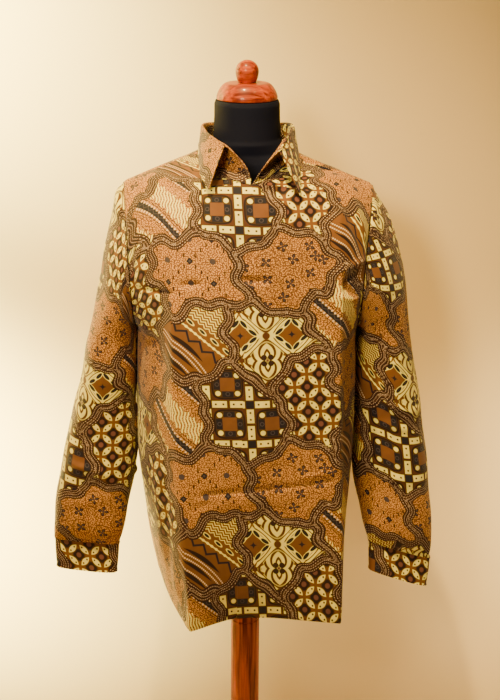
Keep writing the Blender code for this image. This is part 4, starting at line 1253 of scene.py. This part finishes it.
def paintRosettes(x, y, stipple):
    # small dark lobed flowers scattered over fine pale stippling and faint rings
    tree = x.tree
    colour = paint(linear(dyes["sogaLight"]), stipple, dyes["straw"])
    spot = addNode(tree, "CombineXYZ", {0: x.socket, 1: y.socket})
    cells = addNode(tree, "TexVoronoi", {"Vector": spot, "Scale": 1.0 / 32.0, "Randomness": 0.7},
                    voronoi_dimensions="2D")
    cx, cy, _ = separated(tree, cells.outputs["Position"])
    phase, _, _ = separated(tree, cells.outputs["Color"])
    cx, cy = x - cx, y - cy
    away = distance(cx, cy)
    lobes = combine("COSINE", combine("ARCTAN2", cx, cy) * 4.0 + phase * 6.3)
    colour = paint(colour, under(abs(away - 14.5), 0.5), dyes["brown"])
    petals = abs(away - 4.6) - lobes * 2.6
    colour = paint(colour, under(petals, 2.1, 0.8), dyes["plum"])
    return paint(colour, under(least(petals + 2.2, away), 1.9, 0.8), dyes["slate"])


def paintLeaves(x, y, stipple):
    # slanting rows: cream zigzags, a beaded stem with leaves, an indigo zigzag and dark dotted spindles
    n, t = turned(x, y, 48.5)
    t = t * -1.0
    zigzags = under(abs(repeated(n - 18.0 + zigzag(t, 11.0) * 2.2, 5.2)), 0.9) * under(16.0 - n, 0.0)
    colour = paint(linear(dyes["soga"]), zigzags, dyes["cream"])
    leaf = distance(repeated(t - 11.0 + n * 0.5, 24.0) / 5.6, (n - 9.5) / 2.2)
    colour = paint(colour, under(leaf, 1.5, 0.3), dyes["cream"])
    colour = paint(colour, under(leaf, 1.0, 0.3), dyes["indigo"])
    colour = paint(colour, under(abs(n) - under(abs(repeated(t, 9.0)), 2.0, 1.0) * 0.9, 1.1), dyes["cream"])
    colour = paint(colour, under(abs(n + 11.0 - zigzag(t, 26.0) * 5.2), 2.2), dyes["indigo"])
    for middle, half, bead in ((-25.0, 3.6, -31.5), (-44.0, 3.0, -38.5), (-60.0, 3.4, -54.5)):
        bow = t * t * 0.0026
        spindle = abs(n - middle + bow) + bow
        colour = paint(colour, under(spindle, half), dyes["black"])
        beads = distance(n - bead + bow * 1.2, repeated(t, 3.6))
        colour = paint(colour, under(beads, 1.35, 0.8), dyes["pearl"])
    return colour


def paintStrips(x, y, stipple):
    # slanting bands: an indigo braid with pearls between dotted lines, then cream upright strokes
    n, t = turned(x, y, 45.0)
    t = t * -1.0
    n = repeated(n - 25.0, 76.0) + 25.0
    strokes = under(abs(repeated(x + combine("SINE", y * 0.3) * 1.2, 5.0)), 1.15)
    inside = under(abs(n - 31.0) + zigzag(t, 13.0) * 3.0, 15.0)
    colour = paint(linear(dyes["soga"]), stipple, dyes["straw"])
    colour = paint(colour, strokes * inside, dyes["cream"])
    thin = under(abs(repeated(y - x * 0.4, 4.4)), 0.8) * under(abs(n + 22.0), 8.0)
    colour = paint(colour, thin, dyes["straw"])
    dashes = under(abs(repeated(t, 3.4)), 1.1)
    lines = least(abs(abs(n) - 9.2), abs(abs(n) - 13.0))
    colour = paint(colour, under(lines, 0.8) * dashes, dyes["bark"])
    braid = abs(n) + zigzag(t, 6.5) * 1.6
    colour = paint(colour, under(braid, 5.4), dyes["indigo"])
    colour = paint(colour, under(abs(n - zigzag(t, 13.0) * 2.4), 0.8), dyes["slate"])
    pearls = distance(abs(n - zigzag(t, 6.5) * 0.8) - 5.6, repeated(t, 6.5))
    return paint(colour, under(pearls, 1.7, 0.8), dyes["pearl"])


def paintBorder(colour, away, along):
    # the band between patches: stripes of pearly dots parted by dark lines, outlined heavier on one side
    colour = paint(colour, under(away, 9.0), dyes["black"])
    colour = paint(colour, under(away, 7.6), dyes["mauve"])
    colour = paint(colour, under(least(away, abs(away - 4.0)), 0.7, 0.5), dyes["black"])
    dots = under(abs(repeated(along, 3.1)), 0.5, 0.5)
    return paint(colour, dots * under(abs(abs(away - 4.0) - 2.0), 0.5, 0.5), dyes["pearl"])


cottonFeel = {
    "threadStep": 0.0011,      # metres; real threads lie four times closer, too fine to show
    "threadHeight": 0.00010,
    "specksPerMetre": 370.0,   # one each 2.7 mm, drawn about twice as coarse as real wax dots
    "mottlesPerMetre": 60.0,   # one each 17 mm
    "mottle": (0.88, 1.10),    # darkest and lightest
}


def batikCotton():
    # hand-waxed and dyed cotton: matt, softly woven, with a faint mottle where the dye took unevenly
    material, tree, shader = newMaterial("waxDyedCotton")
    uv = addNode(tree, "UVMap", uv_map="Cloth").outputs[0]
    border, patch = (addNode(tree, "Attribute", attribute_name=name).outputs["Vector"]
                     for name in ("border", "patch"))
    away, along, _ = separated(tree, border)
    x, y, kind = separated(tree, patch)
    specks = addNode(tree, "TexVoronoi",
                     {"Vector": uv, "Scale": cottonFeel["specksPerMetre"], "Randomness": 0.8},
                     voronoi_dimensions="2D")
    stipple = under(Signal(tree, specks.outputs["Distance"]), 0.33, 0.1)
    painters = (paintKawung, paintCeplok, paintFrames, paintLozenges, paintRosettes, paintLeaves,
                paintStrips)
    colour = painters[0](x, y, stipple)
    for number, painter in enumerate(painters[1:], 1):
        isKind = under(abs(kind - float(number)), 0.5, 0.1)
        colour = paint(colour, isKind, painter(x, y, stipple))
    colour = paintBorder(colour, away, along)
    mottle = addNode(tree, "TexNoise",
                     {"Vector": uv, "Scale": cottonFeel["mottlesPerMetre"], "Detail": 4.0})
    darkest, lightest = cottonFeel["mottle"]
    level = addNode(tree, "MapRange", {0: mottle, 1: 0.3, 2: 0.7, 3: darkest, 4: lightest})
    colour = addNode(tree, "HueSaturation", {"Value": level, "Color": colour})
    tree.links.new(colour.outputs[0], shader.inputs["Base Color"])
    # the crossing threads
    u, v, _ = separated(tree, uv)
    turn = 2 * math.pi / cottonFeel["threadStep"]
    threads = combine("SINE", u * turn) * combine("SINE", v * turn)
    weave = addNode(tree, "Bump",
                    {"Height": threads.socket, "Distance": cottonFeel["threadHeight"], "Strength": 0.35})
    tree.links.new(weave.outputs[0], shader.inputs["Normal"])
    shader.inputs["Roughness"].default_value = 0.72
    shader.inputs["Sheen Weight"].default_value = 0.10
    shader.inputs["Sheen Roughness"].default_value = 0.5
    shader.inputs["Specular IOR Level"].default_value = 0.3
    return material


jerseyFeel = {
    "worn": "#0A0F22",
    "fresh": "#0C1226",
    "fuzzPerMetre": 260.0,     # one each 4 mm; the knit's own rows lie too close together to show
    "wearPerMetre": 9.0,       # one patch each 11 cm
}


def formJersey():
    # black cotton jersey stretched over the form: very dark and soft, with a fine knitted grain
    material, tree, shader = newMaterial("stretchedBlackJersey")
    spot = addNode(tree, "TexCoord").outputs["Object"]
    fuzz = addNode(tree, "TexNoise", {"Vector": spot, "Scale": jerseyFeel["fuzzPerMetre"], "Detail": 3.0})
    wear = addNode(tree, "TexNoise", {"Vector": spot, "Scale": jerseyFeel["wearPerMetre"], "Detail": 2.0})
    share = addNode(tree, "MapRange", {0: wear, 1: 0.35, 2: 0.7, 3: 0.0, 4: 1.0})
    worn, fresh = linear(jerseyFeel["worn"]), linear(jerseyFeel["fresh"])
    colour = addNode(tree, "MixRGB", {0: share, 1: worn, 2: fresh})
    tree.links.new(colour.outputs[0], shader.inputs["Base Color"])
    knit = addNode(tree, "Bump", {"Height": fuzz, "Distance": 0.0002, "Strength": 0.3})
    tree.links.new(knit.outputs[0], shader.inputs["Normal"])
    shader.inputs["Roughness"].default_value = 0.85
    shader.inputs["Specular IOR Level"].default_value = 0.2
    return material


woodFeel = {
    "light": "#C45424",
    "dark": "#641A04",
    "streaksPerMetre": 150.0,  # one each 7 mm across the grain; real pores are too fine to show
    "stretch": 0.05,           # their width as a share of their length
    "capFrom": 1.4,            # above this height the grain lies flat
}


def varnishedWood():
    # reddish hardwood turned on the lathe and varnished: upright grain in the pole, lying grain in the cap
    material, tree, shader = newMaterial("turnedVarnishedHardwood")
    spot = addNode(tree, "TexCoord").outputs["Object"]
    x, y, z = separated(tree, spot)
    isCap = under(woodFeel["capFrom"] - z, 0.0, 0.01)
    thin = woodFeel["stretch"]
    along = addNode(tree, "CombineXYZ", {0: x.socket, 1: y.socket, 2: (z * thin).socket})
    lying = addNode(tree, "CombineXYZ", {0: (x * thin).socket, 1: y.socket, 2: z.socket})
    place = addNode(tree, "MixRGB", {0: isCap.socket, 1: along, 2: lying})
    grain = addNode(tree, "TexNoise",
                    {"Vector": place, "Scale": woodFeel["streaksPerMetre"], "Detail": 5.0,
                     "Roughness": 0.62, "Distortion": 0.4})
    share = addNode(tree, "MapRange", {0: grain, 1: 0.36, 2: 0.66, 3: 0.0, 4: 1.0})
    colour = addNode(tree, "MixRGB", {0: share, 1: linear(woodFeel["dark"]), 2: linear(woodFeel["light"])})
    tree.links.new(colour.outputs[0], shader.inputs["Base Color"])
    pores = addNode(tree, "Bump", {"Height": grain, "Distance": 0.0003, "Strength": 0.15})
    tree.links.new(pores.outputs[0], shader.inputs["Normal"])
    shader.inputs["Roughness"].default_value = 0.42
    shader.inputs["Specular IOR Level"].default_value = 0.2
    shader.inputs["Coat Weight"].default_value = 0.28
    shader.inputs["Coat Roughness"].default_value = 0.12
    shader.inputs["Coat IOR"].default_value = 1.4
    return material


batik = batikCotton()
jersey = formJersey()
wood = varnishedWood()
print("materials ready")

over = frontPanel("frontOverCloth", "front_over", 1, True, batik)
beneath = frontPanel("frontUnderCloth", "front_under", -1, False, batik)
backCloth = backPanel("backCloth", "back", batik)
print("body cloth ready")
sleeves, cuffs = {}, {}
for side, word in ((-1, "left"), (1, "right")):
    sleeves[side] = sleeve("sleeveCloth_" + word, "sleeve_" + word, side, batik)
    cuffs[side] = cuff("cuffCloth_" + word, "cuff_" + word, side, batik)
standCloth = collarStand("collarStandCloth", "collar_stand", batik)
leafCloth = collarLeaf("collarLeafCloth", "collar_leaf", batik)
print("sleeves and collar ready")
formCover = formTorso("formCover", "form_torso", jersey)
neckCap("neckCapWood", "neck_cap", wood)
finial("finialWood", "finial", wood)
pole("poleWood", "pole", wood)
base("baseWood", "base", wood)
print("dress form ready")

studio = {
    "floorReach": 20.0,
    "wallReach": 2.4,          # half the backdrop's width
    "wallPlace": 0.29,         # how far behind the form it stands
    "wallHeight": 3.2,
    "floorColour": "#CDB78E",
    "wallColour": "#FDE4A2",
    "airColour": "#FFEAD6",
    "airStrength": 0.15,
}


def stagePlane(name, corners, hexColour):
    # painted boards; the one behind the form can be seen through from its back
    mesh = bpy.data.meshes.new(name)
    mesh.from_pydata(corners, [], [tuple(range(len(corners)))])
    board = bpy.data.objects.new(name, mesh)
    bpy.context.scene.collection.objects.link(board)
    material, tree, shader = newMaterial(name + "Paint")
    shader.inputs["Base Color"].default_value = linear(hexColour)
    shader.inputs["Roughness"].default_value = 0.9
    clear = addNode(tree, "BsdfTransparent")
    behind = addNode(tree, "NewGeometry").outputs["Backfacing"]
    mixed = addNode(tree, "MixShader", {0: behind, 1: shader, 2: clear})
    tree.links.new(mixed.outputs[0], tree.nodes["Material Output"].inputs["Surface"])
    mesh.materials.append(material)


def stage():
    wide, reach = studio["floorReach"], studio["wallReach"]
    behind, high = studio["wallPlace"], studio["wallHeight"]
    floor = [(-wide, -wide, 0), (wide, -wide, 0), (wide, wide, 0), (-wide, wide, 0)]
    stagePlane("floor", floor, studio["floorColour"])
    wall = [(-reach, behind, 0), (reach, behind, 0), (reach, behind, high), (-reach, behind, high)]
    stagePlane("backdrop", wall, studio["wallColour"])
    air = bpy.data.worlds.new("studio")
    air.use_nodes = True
    background = air.node_tree.nodes["Background"]
    background.inputs["Color"].default_value = linear(studio["airColour"])
    background.inputs["Strength"].default_value = studio["airStrength"]
    bpy.context.scene.world = air


# metres, degrees and millimetres of lens
cameraView = {"place": (0.0066, -1.90, 1.80), "tilt": 70.0, "roll": 0.30, "lens": 61.71, "sensor": 36.0}


def addCamera():
    data = bpy.data.cameras.new("camera")
    data.sensor_fit, data.sensor_height, data.lens = "VERTICAL", cameraView["sensor"], cameraView["lens"]
    camera = bpy.data.objects.new("camera", data)
    camera.matrix_world = (Matrix.Translation(cameraView["place"])
                           @ Matrix.Rotation(math.radians(cameraView["tilt"]), 4, "X")
                           @ Matrix.Rotation(math.radians(cameraView["roll"]), 4, "Z"))
    bpy.context.scene.collection.objects.link(camera)
    bpy.context.scene.camera = camera


# place and target in metres, watts, the spots' cone in radians and how soft their shadows are
lamps = {
    "keyLight": {"place": (-0.42, -0.85, 4.20), "target": (-0.02, -0.12, 1.15), "power": 1000,
                 "colour": "#FFD68C", "cone": 0.62, "soft": 0.05},
    "frontLight": {"place": (-0.50, -1.60, 2.10), "target": (0.03, -0.10, 1.26), "power": 140,
                   "colour": "#FFE0B0", "cone": 0.66, "soft": 0.2},
    "lowLight": {"place": (-1.10, -1.20, 1.45), "target": (-0.14, 0.0, 0.62), "power": 10,
                 "colour": "#FFE2C2", "cone": 0.75, "soft": 0.08},
    "rightLight": {"place": (0.70, -0.80, 3.00), "target": (0.05, -0.05, 1.05), "power": 6,
                   "colour": "#FFC880", "disk": 0.26},
    "wallLightHigh": {"place": (-1.50, -0.50, 2.05), "target": (-0.88, 0.29, 1.75), "power": 1700,
                      "colour": "#FFF2B0", "cone": 0.92, "soft": 0.1},
    "wallLightLow": {"place": (-1.50, -0.50, 1.05), "target": (-0.88, 0.29, 0.75), "power": 1700,
                     "colour": "#FFF2B0", "cone": 0.92, "soft": 0.1},
    "wallLightRight": {"place": (1.50, -0.50, 1.20), "target": (0.92, 0.29, 0.75), "power": 190,
                       "colour": "#FFE6B8", "cone": 0.92, "soft": 0.1},
}


def addLight(name, place, target, power, colour, cone=None, soft=0.0, disk=None):
    # a spot, or a disk of light where a disk's width is given
    data = bpy.data.lights.new(name, "AREA" if disk else "SPOT")
    data.energy, data.color = power, linear(colour)[:3]
    if disk:
        data.shape, data.size = "DISK", disk
    else:
        data.spot_size, data.spot_blend, data.shadow_soft_size = cone, 1.0, soft
    lamp = bpy.data.objects.new(name, data)
    lamp.location = place
    lamp.rotation_euler = (Vector(target) - Vector(place)).to_track_quat("-Z", "Y").to_euler()
    bpy.context.scene.collection.objects.link(lamp)


stage()
addCamera()
for name, lamp in lamps.items():
    addLight(name, **lamp)
print("stage, camera and lights ready")
